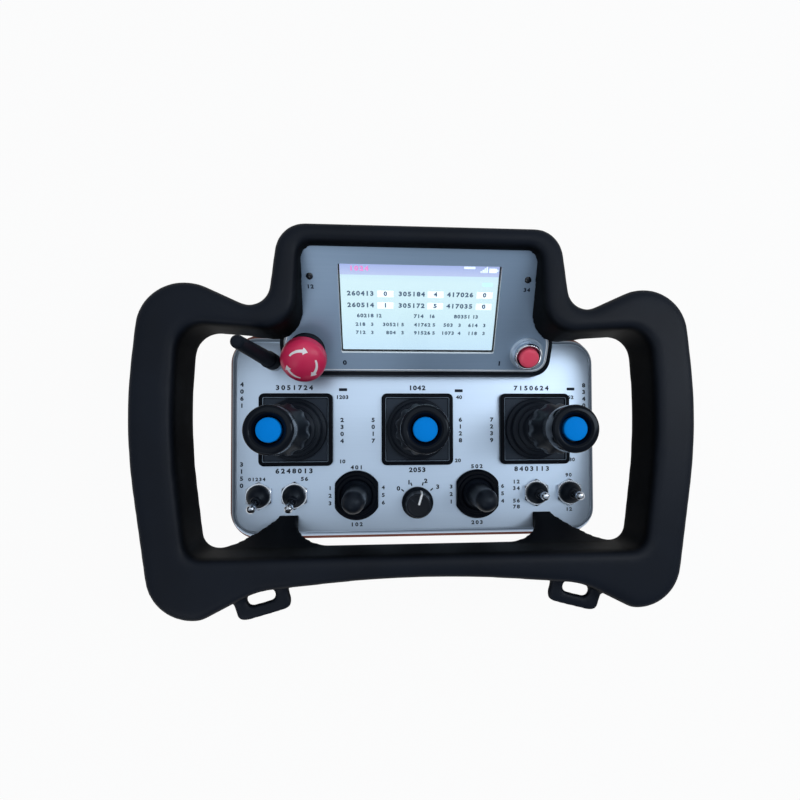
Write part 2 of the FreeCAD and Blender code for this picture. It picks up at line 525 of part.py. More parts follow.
# Joysticks: bezel, boot, two-axis mechanism, stem, fluted grip and push button
bezels, boots, blocks = [], [], []
recessFloor = "(bezel_height - bezel_recess)"
gripLow = "(%s + boot_height + grip_gap)" % recessFloor
for side, place in stickPlaces.items():
    frameBlock = slab("bezel_block", "bezel_side", "bezel_side", "bezel_height", "bezel_corner")
    soften(frameBlock, rims(frameBlock.Tip, value("bezel_height")), "bezel_edge")
    recess = slab("bezel_dish", "bezel_side - 2 * bezel_rim", "bezel_side - 2 * bezel_rim",
                  "bezel_recess + over",
                  "bezel_corner - bezel_rim / 2", "0", "0", recessFloor)
    bore = rod("bezel_hole", "bezel_bore", "bezel_height + 2 * over", "0", "0", "-over")
    bezels.append(seat(cut("bezel", frameBlock, recess, bore), place))

    stemHole = "(stem_radius + slack)"
    stepTwo = "(boot_foot - boot_step)"
    stepThree = "(boot_foot - 2 * boot_step)"
    ledges = [recessFloor, "boot_rise", "boot_slant", "boot_tread", "boot_slant", "boot_tread",
              "boot_cone"]
    steps = [" + ".join(ledges[:count]) for count in range(1, len(ledges) + 1)]
    bootTop = recessFloor + " + boot_height"
    boot = turned("boot", [
        ("bezel_bore + boot_wall", recessFloor), ("boot_foot", recessFloor), ("boot_foot", steps[1]),
        (stepTwo, steps[2]), (stepTwo, steps[3]), (stepThree, steps[4]), (stepThree, steps[5]),
        ("boot_neck", steps[6]), ("boot_neck", bootTop), (stemHole, bootTop), (stemHole,
                                                                               bootTop + " - boot_wall"),
        ("boot_neck - boot_wall", bootTop + " - boot_wall"), ("boot_neck - boot_wall",
                                                              steps[6] + " - boot_wall"),
        (stepThree + " - boot_wall", steps[5] + " - boot_wall"),
        (stepThree + " - boot_wall", steps[4] + " - boot_wall"),
        (stepTwo + " - boot_wall", steps[3] + " - boot_wall"),
        (stepTwo + " - boot_wall", recessFloor + " + boot_wall"),
        ("bezel_bore + boot_wall", recessFloor + " + boot_wall")])
    boots.append(seat(boot, place))

    blockLow = "-panel_sheet - block_depth"
    block = box("block_body", "block_side", "block_side", "block_depth", "0", "0", blockLow)
    well = box("block_well", "block_side - 2 * block_wall", "block_side - 2 * block_wall", "block_depth",
               "0", "0",
               blockLow + " + block_wall")
    trunnion = rod("block_bore", "pin_radius + fit", "block_side + 2 * over", "-block_side / 2 - over",
                   "0", "-pivot_depth",
                   "X")
    blocks.append(seat(cut("block", block, well, trunnion), place))

    ringLow = "-pivot_depth - ring_height / 2"
    ringBody = box("ring_body", "ring_outer", "ring_outer", "ring_height", "0", "0", ringLow)
    ringHole = box("ring_hole", "ring_inner", "ring_inner", "ring_height + 2 * over", "0", "0",
                   ringLow + " - over")
    ringBore = rod("ring_bore", "pin_radius + fit", "ring_outer + 2 * over", "0",
                   "-ring_outer / 2 - over", "-pivot_depth",
                   "Y")
    pinLength = "(block_side / 2 - ring_inner / 2 - (ring_outer - ring_inner) / 4 - fit)"
    pinRight = rod("ring_pin", "pin_radius", pinLength, "block_side / 2 - fit - " + pinLength, "0",
                   "-pivot_depth", "X")
    pinLeft = rod("ring_pin", "pin_radius", pinLength, "fit - block_side / 2", "0", "-pivot_depth", "X")
    gimbal = fuse("gimbal_" + side, cut("ring_cut", ringBody, ringHole, ringBore), pinRight, pinLeft)
    node("joystick_gimbal_" + side, seat(gimbal, place))

    hub = box("hub", "hub_side", "hub_side", "ring_height", "0", "0", ringLow)
    crossPin = rod("cross_pin", "pin_radius", "ring_outer - 2 * fit", "0", "fit - ring_outer / 2",
                   "-pivot_depth", "Y")
    stem = rod("stem", "stem_radius", "stem_tail + pivot_depth + stem_top", "0", "0",
               "-pivot_depth - stem_tail")
    node("joystick_lever_" + side, seat(fuse("lever_" + side, hub, crossPin, stem), place))

    skirtLow = gripLow + " + skirt_stand"
    skirtTop = skirtLow + " + skirt_height"
    flangeLow = "stick_reach - flange_height"
    buttonLow = "stick_reach - button_sink - button_height"
    pocketFloor = "(%s - button_travel - slack)" % buttonLow
    grip = turned("grip_" + side, [
        ("stem_radius + fit", gripLow), ("grip_foot", gripLow), ("skirt_radius - flange_edge", skirtLow),
        ("skirt_radius", skirtLow + " + flange_edge"), ("skirt_radius", skirtTop),
        ("waist_radius", skirtTop + " + skirt_slope"),
        ("waist_radius", flangeLow + " - shoulder_slope"),
        ("flange_radius - flange_edge / 2", flangeLow), ("flange_radius", flangeLow + " + flange_edge"),
        ("flange_radius", "stick_reach - flange_edge"), ("flange_radius - flange_edge", "stick_reach"),
        ("button_radius + slack + flange_edge", "stick_reach"),
        ("button_radius + slack", "stick_reach - button_sink"), ("button_radius + slack", pocketFloor),
        ("stem_radius - grip_land", pocketFloor), ("stem_radius - grip_land", "stem_top + fit"),
        ("stem_radius + fit", "stem_top + fit")])
    fluted(grip, "flute_count", "flute_radius", "skirt_radius + flute_radius - flute_bite", gripLow,
           skirtTop + " + skirt_slope")
    node("joystick_grip_" + side, seat(grip, place))
    button = turned("button_" + side, [
        ("0", buttonLow), ("button_radius", buttonLow), ("button_radius",
                                                         "stick_reach - button_sink - button_edge"),
        ("button_radius - button_edge", "stick_reach - button_sink"), ("0", "stick_reach - button_sink")])
    node("joystick_button_" + side, seat(button, place))
node("joystick_bezels", group("joystick_bezels", bezels))
node("joystick_boots", group("joystick_boots", boots))
node("joystick_bodies", group("joystick_bodies", blocks))

# Finger joysticks: flanged base with flats, dome that turns in it, small gimbal between two fork posts
thumbBases, cups = [], []
for side, place in thumbPlaces.items():
    flange = turned("thumb_flange_" + side, [
        ("0", "0"), ("thumb_flange", "0"), ("thumb_flange", "thumb_flange_wall"),
        ("thumb_flange - thumb_slope", "thumb_step"),
        ("thumb_dome + thumb_shell", "thumb_step"),
        ("thumb_dome + thumb_shell - thumb_lip", "thumb_flange_height"), ("0", "thumb_flange_height")])
    flats = box("thumb_flat_box", "thumb_flats", "3 * thumb_flange", "2 * thumb_flange_height", "0", "0",
                "-thumb_flange_height / 2")
    socket = ball("thumb_socket", "thumb_dome + thumb_clear", "-thumb_pivot")
    thumbBases.append(seat(cut("thumb_base", common("thumb_flatted", flange, flats), socket), place,
                           "thumb_y"))

    cupLow = "-panel_sheet - cup_depth"
    cupBody = rod("cup_body", "thumb_hole + cup_wall", "cup_depth", "0", "0", cupLow)
    cupWell = rod("cup_well", "thumb_hole", "cup_depth", "0", "0", cupLow + " + cup_floor")
    postReach = "(thumb_ring + fork_gap + fork_thick / 2)"
    postTop = "(cup_depth + panel_sheet - thumb_pivot - cup_floor + thumb_pin + fork_cap)"
    forks = [box("fork", "fork_thick", "fork_width", postTop + " + cup_floor / 2", sign + postReach, "0",
                 cupLow + " + cup_floor / 2") for sign in ("", "-")]
    forkBore = rod("fork_bore", "thumb_pin + fit", "2 * thumb_hole", "-thumb_hole", "0", "-thumb_pivot",
                   "X")
    uprightPosts = cut("fork_posts", fuse("fork_pair", *forks), forkBore)
    cups.append(seat(fuse("cup", cut("cup_shell", cupBody, cupWell), uprightPosts), place, "thumb_y"))

    ringLow = "-thumb_pivot - thumb_ring_height / 2"
    ringBody = rod("thumb_ring_body", "thumb_ring", "thumb_ring_height", "0", "0", ringLow)
    ringHole = rod("thumb_ring_hole", "thumb_ring_bore", "thumb_ring_height + 2 * over", "0", "0",
                   ringLow + " - over")
    ringBore = rod("thumb_ring_bore", "thumb_pin + fit", "2 * thumb_ring + 2 * over", "0",
                   "-thumb_ring - over",
                   "-thumb_pivot", "Y")
    pinLength = "(fork_gap + fork_thick + (thumb_ring - thumb_ring_bore) / 2)"
    pinFrom = "(thumb_ring + thumb_ring_bore) / 2"
    pinRight = rod("thumb_ring_pin", "thumb_pin", pinLength, pinFrom, "0", "-thumb_pivot", "X")
    pinLeft = rod("thumb_ring_pin", "thumb_pin", pinLength, "-%s - %s" % (pinFrom, pinLength), "0",
                  "-thumb_pivot", "X")
    thumbGimbal = fuse("thumb_gimbal_" + side, cut("thumb_ring_cut", ringBody, ringHole, ringBore),
                       pinRight,
                       pinLeft)
    node("thumb_gimbal_" + side, seat(thumbGimbal, place, "thumb_y"))

    dome = ball("thumb_dome_ball", "thumb_dome", "-thumb_pivot")
    bind(dome, "Angle1", "thumb_rim")
    domeHollow = ball("thumb_dome_hollow", "thumb_dome - thumb_shell", "-thumb_pivot")
    shaft = cone("thumb_shaft", "thumb_foot", "thumb_tip",
                 "thumb_reach - thumb_tip - thumb_dome / 2 + thumb_pivot",
                 "thumb_dome / 2 - thumb_pivot")
    tip = ball("thumb_tip_ball", "thumb_tip", "thumb_reach - thumb_tip")
    stem = rod("thumb_stem_rod", "thumb_stem", "thumb_tail + thumb_dome", "0", "0",
               "-thumb_pivot - thumb_tail")
    crossPin = rod("thumb_cross_pin", "thumb_pin", "2 * thumb_ring", "0", "-thumb_ring", "-thumb_pivot",
                   "Y")
    skin = cut("thumb_skin", fuse("thumb_outer", dome, shaft, tip), domeHollow)
    node("thumb_stick_" + side, seat(fuse("thumb_stick_" + side, skin, stem, crossPin), place, "thumb_y"))
node("thumb_bezels", group("thumb_bezels", thumbBases))
node("thumb_bodies", group("thumb_bodies", cups))

# Toggle switches: the left pair rests towards the operator, the right pair upright
nuts, switches, domes = [], [], []
for number, place in togglePlaces.items():
    hexagon = doc.addObject("Part::Prism", "nut_hexagon")
    hexagon.Polygon = 6
    bind(hexagon, "Circumradius", "nut_flats / sqrt(3)")
    bind(hexagon, "Height", "nut_height")
    nutHole = rod("nut_hole", "bushing_radius + fit", "nut_height + 2 * over", "0", "0", "-over")
    nuts.append(seat(cut("nut", hexagon, nutHole), place, "toggle_y"))

    caseLow = "-panel_sheet - switch_depth"
    case = box("switch_case", "switch_side", "switch_side", "switch_depth", "0", "0", caseLow)
    bushing = rod("bushing", "bushing_radius", "panel_sheet + bushing_top + switch_depth / 2", "0", "0",
                  "-panel_sheet - switch_depth / 2")
    bushingBore = rod("bushing_bore", "bushing_bore", "bushing_top + toggle_pivot + 2 * bat_hub", "0",
                      "0",
                      "-toggle_pivot - bat_hub - slack")
    pivotBore = rod("pivot_bore", "bat_pin + fit", "2 * bushing_radius + 2 * over",
                    "-bushing_radius - over", "0",
                    "toggle_pivot", "X")
    switches.append(seat(cut("switch", fuse("switch_body", case, bushing), bushingBore, pivotBore), place,
                         "toggle_y"))

    hub = ball("bat_hub_ball", "bat_hub")
    pivot = rod("bat_pivot", "bat_pin", "2 * bushing_radius - 2 * fit", "fit - bushing_radius", "0", "0",
                "X")
    root = rod("bat_root_rod", "bat_root", "bat_straight", "0", "0", "0")
    taper = cone("bat_taper", "bat_root", "bat_tip", "bat_length - bat_straight", "bat_straight")
    end = ball("bat_end", "bat_tip", "bat_length")
    lever = fuse("toggle_lever_" + number, hub, pivot, root, taper, end)
    lever.Placement = FreeCAD.Placement(Vector(), Rotation(Vector(1, 0, 0), 1))
    bind(lever, "Placement.Rotation.Angle", toggleRest[number])
    node("toggle_lever_" + number, seat(lever, place, "toggle_y", panelTop + " + toggle_pivot"))

    shell = ball("dome_ball", "toggle_dome", "nut_height")
    shell.Angle1 = 0
    neck = cone("dome_neck_cone", "dome_neck", "dome_lip", "dome_reach - toggle_dome / 2",
                "toggle_dome / 2")
    bore = rod("dome_bore", "bat_root + fit", "2 * dome_reach", "0", "0", "0")
    for part in (neck, bore):
        part.Placement = FreeCAD.Placement(Vector(), Rotation(Vector(1, 0, 0), 1))
        bind(part, "Placement.Rotation.Angle", toggleRest[number])
    bind(neck, "Placement.Base.y", "-toggle_dome / 2 * sin(%s)" % toggleRest[number])
    bind(neck, "Placement.Base.z", "toggle_pivot + toggle_dome / 2 * cos(%s)" % toggleRest[number])
    bind(bore, "Placement.Base.z", "toggle_pivot")
    inside = ball("dome_inside", "toggle_dome - dome_wall", "nut_height")
    domes.append(seat(cut("dome", fuse("dome_skin", shell, neck), inside, bore), place, "toggle_y"))
node("toggle_nuts", group("toggle_nuts", nuts))
node("toggle_switches", group("toggle_switches", switches))
node("toggle_boots", group("toggle_boots", domes))

# Rotary selector: switch under the panel, fluted knob on its spindle, white pointer let into the knob
body = rod("selector_case", "selector_radius", "selector_depth", "0", "0",
           "-panel_sheet - selector_depth")
bush = rod("selector_bush_rod", "selector_bush",
           "panel_sheet + selector_bush_height + selector_depth / 2", "0", "0",
           "-panel_sheet - selector_depth / 2")
spindleBore = rod("spindle_bore", "spindle_radius + fit",
                  "panel_sheet + spindle_tail + selector_bush_height + 2 * over",
                  "0", "0", "-panel_sheet - spindle_tail - slack")
selector = cut("selector_switch", fuse("selector_body", body, bush), spindleBore)
node("selector_switch", seat(selector, "0", "selector_y"))
knob = turned("knob_blank", [
    ("knob_bore", "knob_gap"), ("knob_skirt", "knob_gap"), ("knob_skirt", "knob_skirt_height"),
    ("knob_foot", "knob_skirt_height + knob_skirt - knob_foot"), ("knob_top", "knob_height - knob_edge"),
    ("knob_top - knob_edge", "knob_height"), ("0", "knob_height"), ("0", "-panel_sheet - spindle_tail"),
    ("spindle_radius", "-panel_sheet - spindle_tail"), ("spindle_radius", "knob_bore_height"),
    ("knob_bore", "knob_bore_height")])
fluted(knob, "knob_flutes", "knob_flute", "knob_top + knob_flute - knob_flute_bite",
       "knob_skirt_height + knob_skirt - knob_foot + over", "knob_height + over")
grooveLength = "(knob_top - pointer_root + over)"
groove = box("pointer_groove", "pointer_width + 2 * fit", grooveLength, "pointer_depth + over", "0",
             "pointer_root + %s / 2" % grooveLength, "knob_height - pointer_depth")
knob = cut("selector_knob", knob, groove)
pointer = slab("selector_pointer", "pointer_width", "knob_top - knob_edge - pointer_root",
               "pointer_depth",
               "pointer_width / 4", "0", "fit + pointer_root + (knob_top - knob_edge - pointer_root) / 2",
               "knob_height - pointer_depth")
for piece in (knob, pointer):
    piece.Placement = FreeCAD.Placement(Vector(), Rotation(Vector(0, 0, 1), -1))
    bind(piece, "Placement.Rotation.Angle", "selector_turn")
    seat(piece, "0", "selector_y")
node("selector_knob", knob)
node("selector_pointer", pointer)

# Display: plate with window, glass, panel and driver behind it, all in the sloped housing
def plateShape(name, grow, low, height):
    # outline of the plate: wide at the foot, narrower where the hood covers it
    wide = "(plate_half + %s)" % grow
    slim = "(plate_top_half + %s)" % grow
    foot = "(0 - %s)" % grow
    top = "(plate_height + %s)" % grow
    half = [(wide, foot, "plate_corner"), (wide, "plate_turn_low", "plate_turn_curve"),
            (slim, "plate_turn_high", "plate_turn_curve"), (slim, top, "plate_corner")]
    around = half + [("-" + x, y, curve) for x, y, curve in reversed(half)]
    body = doc.addObject("PartDesign::Body", name)
    pad(body, drawing(body, "XY_Plane", [point[:2] for point in around], low), height)
    for curve in ("plate_corner", "plate_turn_curve"):
        places = [(value(x), value(y)) for x, y, own in around if own == curve]
        soften(body, uprights(body.Tip, places), curve)
    return body


plateBlock = plateShape("plate_block", "0", "-plate_thick", "plate_thick")
soften(plateBlock, rims(plateBlock.Tip, 0), "plate_edge")
windowMiddle = "window_low + window_height / 2"
window = slab("plate_window", "window_width", "window_height", "plate_thick + 2 * over", "window_corner",
              "0",
              windowMiddle, "-plate_thick - over")
drills = [rod("estop_drill", "barrel_radius + fit", "plate_thick + 2 * over", "estop_x", "estop_up",
              "-plate_thick - over"),
          rod("start_drill", "barrel_radius + fit", "plate_thick + 2 * over", "start_x", "start_up",
              "-plate_thick - over")]
drills += [rod("lens_drill", "lens_radius + fit", "plate_thick + 2 * over", side + "lens_x", "lens_up",
               "-plate_thick - over") for side in ("", "-")]
node("display_plate", lean(cut("display_plate", plateBlock, window, *drills)))
glassLow = "(-plate_thick - glass_thick)"
lcdLow = "(%s - lcd_thick)" % glassLow
glass = slab("display_glass", "window_width + 2 * glass_margin", "window_height + 2 * glass_margin",
             "glass_thick",
             "window_corner", "0", windowMiddle, glassLow)
node("display_glass", lean(glass))
lcd = slab("lcd_module", "window_width + 2 * lcd_margin", "window_height + lcd_top + lcd_low",
           "lcd_thick",
           "window_corner", "0", windowMiddle + " + (lcd_top - lcd_low) / 2", lcdLow)
node("lcd_module", lean(lcd))
driver = slab("display_board", "window_width - 2 * driver_inset", "window_height - 2 * driver_inset",
              "driver_thick", "window_corner", "0", windowMiddle, lcdLow + " - driver_thick")
node("display_board", lean(driver))
lenses = []
for side in ("", "-"):
    lens = turned("lens", [
        ("0", "-lens_length"), ("lens_radius", "-lens_length"), ("lens_radius", "lens_stand / 2"),
        ("lens_radius / 2", "lens_stand"), ("0", "lens_stand")])
    lenses.append(lean(lens, side + "lens_x", "lens_up"))
node("indicator_lenses", group("indicator_lenses", lenses))

# outline of the sloped housing, seen from the side and set out from the panel point
slopeRise = "tan(display_tilt)"
slopeY = "(plate_foot_y - rim * cos(display_tilt))"
shellTop = "(plate_foot_z - rim_drop / cos(display_tilt))"


def slopeAt(y, drop="0"):
    return "(%s + ((%s) - plate_foot_y) * %s - (%s) / cos(display_tilt))" % (shellTop, y, slopeRise, drop)


def prism(name, points, length):
    body = doc.addObject("PartDesign::Body", name)
    pad(body, drawing(body, "YZ_Plane", points), length, True)
    return body


shellBody = prism("shell_block", [
    (slopeY, "0"), (slopeY, slopeAt(slopeY)), ("hood_inner_top", slopeAt("hood_inner_top")),
    ("hood_inner_top", "shell_back_low"), ("shell_heel_y", "0")], "2 * (plate_half + rim)")
frontY = "(%s + shell_wall)" % slopeY
backY = "(hood_inner_top - shell_wall)"
heelIn = "(shell_heel_y - shell_heel)"
hollow = prism("shell_hollow", [
    (frontY, "-over"), (frontY, slopeAt(frontY, "shell_wall")), (backY, slopeAt(backY, "shell_wall")),
    (backY, "shell_back_low + shell_wall"), (heelIn, "0"), (heelIn, "-over")], "2 * plate_half")
seatPocket = plateShape("plate_pocket", "fit", "-plate_thick", "plate_thick + 3 * over")
screenPocket = plateShape("screen_pocket", "(0 - shell_ledge)", "-plate_thick - shell_wall - 3 * over",
                          "plate_thick + shell_wall + 3 * over")
for tool in (seatPocket, screenPocket):
    tool.Placement = FreeCAD.Placement(Vector(), Rotation(Vector(1, 0, 0), value("display_tilt")))
    bind(tool, "Placement.Rotation.Angle", "display_tilt")
    move(tool, "0", "plate_foot_y", "plate_foot_z")
hoodScrewX = "(hood_inner_half - 2 * screw_head)"
hoodScrewZ = "(shell_back_low + shell_wall + screw_head + 2 * slack)"
hoodBores = [rod("shell_bore", "screw_radius + fit", "shell_wall + 2 * over", side + hoodScrewX,
                 backY + " - over",
                 hoodScrewZ, "Y") for side in ("", "-")]


def shellPlan(name, grow):
    # outline of the sloped housing, seen from above
    foot = "(plate_half + rim + %s)" % grow
    top = "(plate_top_half + rim + %s)" % grow
    turnLow = "(plate_foot_y + plate_turn_low * cos(display_tilt))"
    turnHigh = "(plate_foot_y + plate_turn_high * cos(display_tilt))"
    half = [(foot, slopeY + " - " + grow, "shell_corner"), (foot, turnLow, "plate_turn_curve"),
            (top, turnHigh, "plate_turn_curve"), (top, "hood_top", "")]
    around = half + [("-" + x, y, curve) for x, y, curve in reversed(half)]
    body = doc.addObject("PartDesign::Body", name)
    pad(body, drawing(body, "XY_Plane", [point[:2] for point in around], "-2 * over"), "frame_front")
    for curve in ("shell_corner", "plate_turn_curve"):
        places = [(value(x), value(y)) for x, y, own in around if own == curve]
        soften(body, uprights(body.Tip, places), curve)
    return body


cavity = common("shell_cavity", hollow, shellPlan("cavity_plan", "(0 - shell_wall)"))
shellBlank = common("shell_blank", shellBody, shellPlan("shell_plan", "0"))
displayHousing = cut("display_housing", shellBlank, cavity, seatPocket, screenPocket, *hoodBores)
node("display_housing", seat(displayHousing))

# Emergency stop: barrel and contact block, collar, stem that is pushed in, head that turns on it
barrelBore = "(barrel_radius - barrel_wall)"
barrelTop = "(estop_collar_height + barrel_stand)"
barrel = rod("estop_barrel", "barrel_radius", "barrel_depth + " + barrelTop, "0", "0", "-barrel_depth")
contact = box("estop_contacts", "estop_block", "estop_block", "estop_block_depth", "0", "0",
              "-barrel_depth - estop_block_depth / 2 - plate_thick")
estopBore = rod("estop_bore", barrelBore, "stem_tail_estop + estop_travel + 2 * over + " + barrelTop, "0",
                "0",
                "-stem_tail_estop - estop_travel - over")
contactBlock = cut("estop_contact_block", fuse("estop_fixed", barrel, contact), estopBore)
node("estop_contact_block", lean(contactBlock, "estop_x", "estop_up"))
collar = turned("estop_collar", [
    ("barrel_radius + fit", "0"), ("estop_collar", "0"), ("estop_collar", "estop_collar_wall"),
    ("estop_collar - estop_collar_edge", "estop_collar_height"), ("barrel_radius + fit",
                                                                  "estop_collar_height")])
node("estop_collar", lean(collar, "estop_x", "estop_up"))
stemTop = "(head_low + head_under + head_socket)"
estopStem = turned("estop_stem", [
    ("0", "-stem_tail_estop"), (barrelBore + " - fit", "-stem_tail_estop"), (barrelBore + " - fit",
                                                                             stemTop),
    ("0", stemTop)])
node("estop_stem", lean(estopStem, "estop_x", "estop_up"))
domeFoot = "(head_low + head_rim)"
profile = [
    (barrelBore, "head_low + head_under"), ("barrel_radius + head_under", "head_low + head_under"),
    ("head_radius - head_lip", "head_low"), ("head_radius - head_edge", "head_low"),
    ("head_radius", "head_low + head_edge"), ("head_radius", domeFoot)]
for angle in range(15, 90, 15):
    profile.append(("head_radius * cos(%d)" % angle, "%s + head_dome * sin(%d)" % (domeFoot, angle)))
profile += [("0", domeFoot + " + head_dome"), ("0", stemTop + " + slack"), (barrelBore,
                                                                            stemTop + " + slack")]
head = turned("estop_head", profile)
node("estop_head", lean(head, "estop_x", "estop_up"))

# Start button: bright ring, switch barrel behind the plate, red cap
startRing = turned("start_bezel", [
    ("cap_radius + slack", "0"), ("ring_radius", "0"), ("ring_radius",
                                                        "start_ring_height - start_ring_edge"),
    ("ring_radius - start_ring_edge", "start_ring_height"), ("cap_radius + slack", "start_ring_height")])
node("start_bezel", lean(startRing, "start_x", "start_up"))
startBore = rod("start_bore", "cap_radius + slack", "cap_tail + cap_travel + 2 * over", "0", "0",
                "-cap_tail - cap_travel - slack")
startBarrel = rod("start_barrel", "barrel_radius", "barrel_depth", "0", "0", "-barrel_depth")
node("start_switch", lean(cut("start_switch", startBarrel, startBore), "start_x", "start_up"))
cap = turned("start_cap", [
    ("0", "-cap_tail"), ("cap_radius", "-cap_tail"), ("cap_radius", "cap_top - cap_edge"),
    ("cap_radius - cap_edge", "cap_top"), ("0", "cap_top + cap_edge / 3")])
node("start_cap", lean(cap, "start_x", "start_up"))

# Stub antenna on a threaded socket through the panel
socketBody = rod("socket_body", "socket_radius", "socket_height", "0", "0", "0")
socketThread = rod("socket_thread_rod", "socket_thread", "socket_tail", "0", "0", "over - socket_tail")
socketNut = doc.addObject("Part::Prism", "socket_nut_hexagon")
socketNut.Polygon = 6
bind(socketNut, "Circumradius", "socket_nut")
bind(socketNut, "Height", "socket_nut_height")
move(socketNut, "0", "0", "-panel_sheet - socket_nut_height")
node("antenna_socket", seat(fuse("antenna_socket", socketBody, socketThread, socketNut), "antenna_x",
                            "antenna_y"))
whip = turned("antenna_whip", [
    ("0", "socket_height"), ("whip_foot", "socket_height"), ("whip_foot", "socket_height + whip_sleeve"),
    ("whip_foot - whip_step", "socket_height + whip_sleeve + whip_step"),
    ("whip_tip", "whip_top - whip_edge"),
    ("whip_tip - whip_edge", "whip_top"), ("0", "whip_top")])
node("antenna_whip", seat(whip, "antenna_x", "antenna_y"))

# Yoke frame: a ring with rounded edges, a hood that comes down to the display, struts and strap lugs
outer = [
    ("hood_top_half", "hood_top", "hood_corner"), ("neck_half", "neck_y", "neck_curve"),
    ("shoulder_half", "shoulder_y", "shoulder_curve"), ("grip_half", "grip_y", "grip_curve"),
    ("heel_half", "heel_y", "heel_curve"), ("toe_half", "toe_y", "toe_curve"),
    ("bar_half", "bar_y", "bar_curve")]
inner = [
    ("hood_inner_half", "hood_inner_top - hood_lip", "hood_inner_corner"),
    ("neck_inner_half", "neck_inner_y", "neck_inner_curve"), ("hand_top_half", "hand_top", "hand_curve"),
    ("hand_half", "grip_y", "hand_bow"), ("hand_low_half", "hand_low", "hand_low_curve")]


def mirrored(points):
    return [("-(%s)" % x, y, curve) for x, y, curve in reversed(points)]


def ring(name, low, high):
    # both outlines padded, then every upright corner rounded to its own radius
    body = doc.addObject("PartDesign::Body", name)
    outside = outer + [("0", "bar_middle", "bar_bow")] + mirrored(outer)
    inside = inner + mirrored(inner)
    sketch = drawing(body, "XY_Plane", [point[:2] for point in outside], low)
    trace(sketch, [point[:2] for point in inside])
    pad(body, sketch, "(%s) - (%s)" % (high, low))
    curves = {}
    for x, y, curve in outside + inside:
        curves.setdefault(curve, []).append((value(x), value(y)))
    for curve, places in curves.items():
        soften(body, uprights(body.Tip, places), curve)
    return body


yoke = ring("yoke_ring", "frame_back", "frame_front")
soften(yoke, rims(yoke.Tip, value("frame_front")) + rims(yoke.Tip, value("frame_back")), "frame_edge")
hoodRing = ring("hood_ring", "hood_foot - 5 * over", "frame_front - 2 * frame_edge")
hoodBody = doc.addObject("PartDesign::Body", "hood_bounds")
hoodSketch = drawing(hoodBody, "XZ_Plane", [
    ("-hood_spread", "frame_front"), ("-hood_spread", "frame_back"), ("-hood_foot_spread", "hood_foot"),
    ("hood_foot_spread", "hood_foot"), ("hood_spread", "frame_back"), ("hood_spread", "frame_front")],
    "-hood_front_y")
hoodPad = pad(hoodBody, hoodSketch, "hood_top")
hoodPad.Reversed = True
doc.recompute()
hood = common("hood", hoodRing, hoodBody)

pieces = [yoke, hood]
for side in (1, -1):
    sign = "%d * " % side
    strut = doc.addObject("PartDesign::Body", "strut")
    sections = []
    for level, height in (("strut", "0"), ("strut_waist", "strut_waist"), ("strut_top", "strut_rise")):
        near, far = sign + level + "_near", sign + level + "_far"
        front, rear = level + "_front", level + "_rear"
        corners = [(near, front), (far, front), (far, rear), (near, rear)]
        sections.append(drawing(strut, "XY_Plane", corners, height))
    loft = strut.newObject("PartDesign::AdditiveLoft", "strut_loft")
    loft.Profile = sections[0]
    loft.Sections = sections[1:]
    doc.recompute()
    pieces.append(strut)

    lugWidth = "(lug_low + lug_high)"
    lugMiddle = "(lug_high - lug_low) / 2"
    lug = slab("lug", "lug_length", lugWidth, "lug_thick", "lug_corner", "0", lugMiddle, "lug_back")
    soften(lug, rims(lug.Tip, value("lug_back")) + rims(lug.Tip, value("lug_back + lug_thick")),
           "lug_edge")
    slot = slab("lug_slot", "slot_length", "slot_width", "lug_thick + 2 * over", "slot_corner", "0", "0",
                "lug_back - over")
    lug = cut("slotted_lug", lug, slot)
    lug.Placement = FreeCAD.Placement(Vector(), Rotation(Vector(0, 0, -side), 1))
    bind(lug, "Placement.Rotation.Angle", "lug_turn")
    pieces.append(move(lug, sign + "lug_x", "lug_y"))
frameBlank = fuse("frame_blank", *pieces)

plateAt = "(plate_foot_z + ((%s) - plate_foot_y) * " + slopeRise + ")"
wedge = prism("display_wedge", [
    ("plate_foot_y", "-panel_height"), ("plate_foot_y", plateAt % "plate_foot_y"),
    ("hood_inner_top", plateAt % "hood_inner_top"), ("hood_inner_top", "-panel_height")], "wedge_width")
strutBores = [rod("strut_bore", "screw_radius + fit", "strut_screw_length", side + "strut_screw_x",
                  "strut_screw_y", "-over") for side in ("", "-")]
hoodThreads = [rod("hood_thread", "screw_radius + fit", "frame_screw_length / 2 + over",
                   side + hoodScrewX,
                   "hood_inner_top - over", hoodScrewZ, "Y") for side in ("", "-")]
frame = cut("yoke_frame", frameBlank, wedge, *strutBores, *hoodThreads)
node("yoke_frame", seat(frame))

screws = []
for side in ("", "-"):
    head = rod("strut_head", "screw_head", "screw_head_height", side + "strut_screw_x", "strut_screw_y",
               "-panel_sheet - screw_head_height")
    shank = rod("strut_shank", "screw_radius",
                "strut_screw_length - 2 * over + panel_sheet + screw_head_height / 2",
                side + "strut_screw_x", "strut_screw_y", "-panel_sheet - screw_head_height / 2")
    screws.append(fuse("strut_screw", head, shank))
    head = rod("hood_head", "screw_head", "screw_head_height", side + hoodScrewX,
               backY + " - screw_head_height",
               hoodScrewZ, "Y")
    shank = rod("hood_shank", "screw_radius",
                "frame_screw_length / 2 - over + shell_wall + screw_head_height / 2",
                side + hoodScrewX, backY + " - screw_head_height / 2", hoodScrewZ, "Y")
    screws.append(fuse("hood_screw", head, shank))
node("frame_screws", seat(group("frame_screws", screws)))

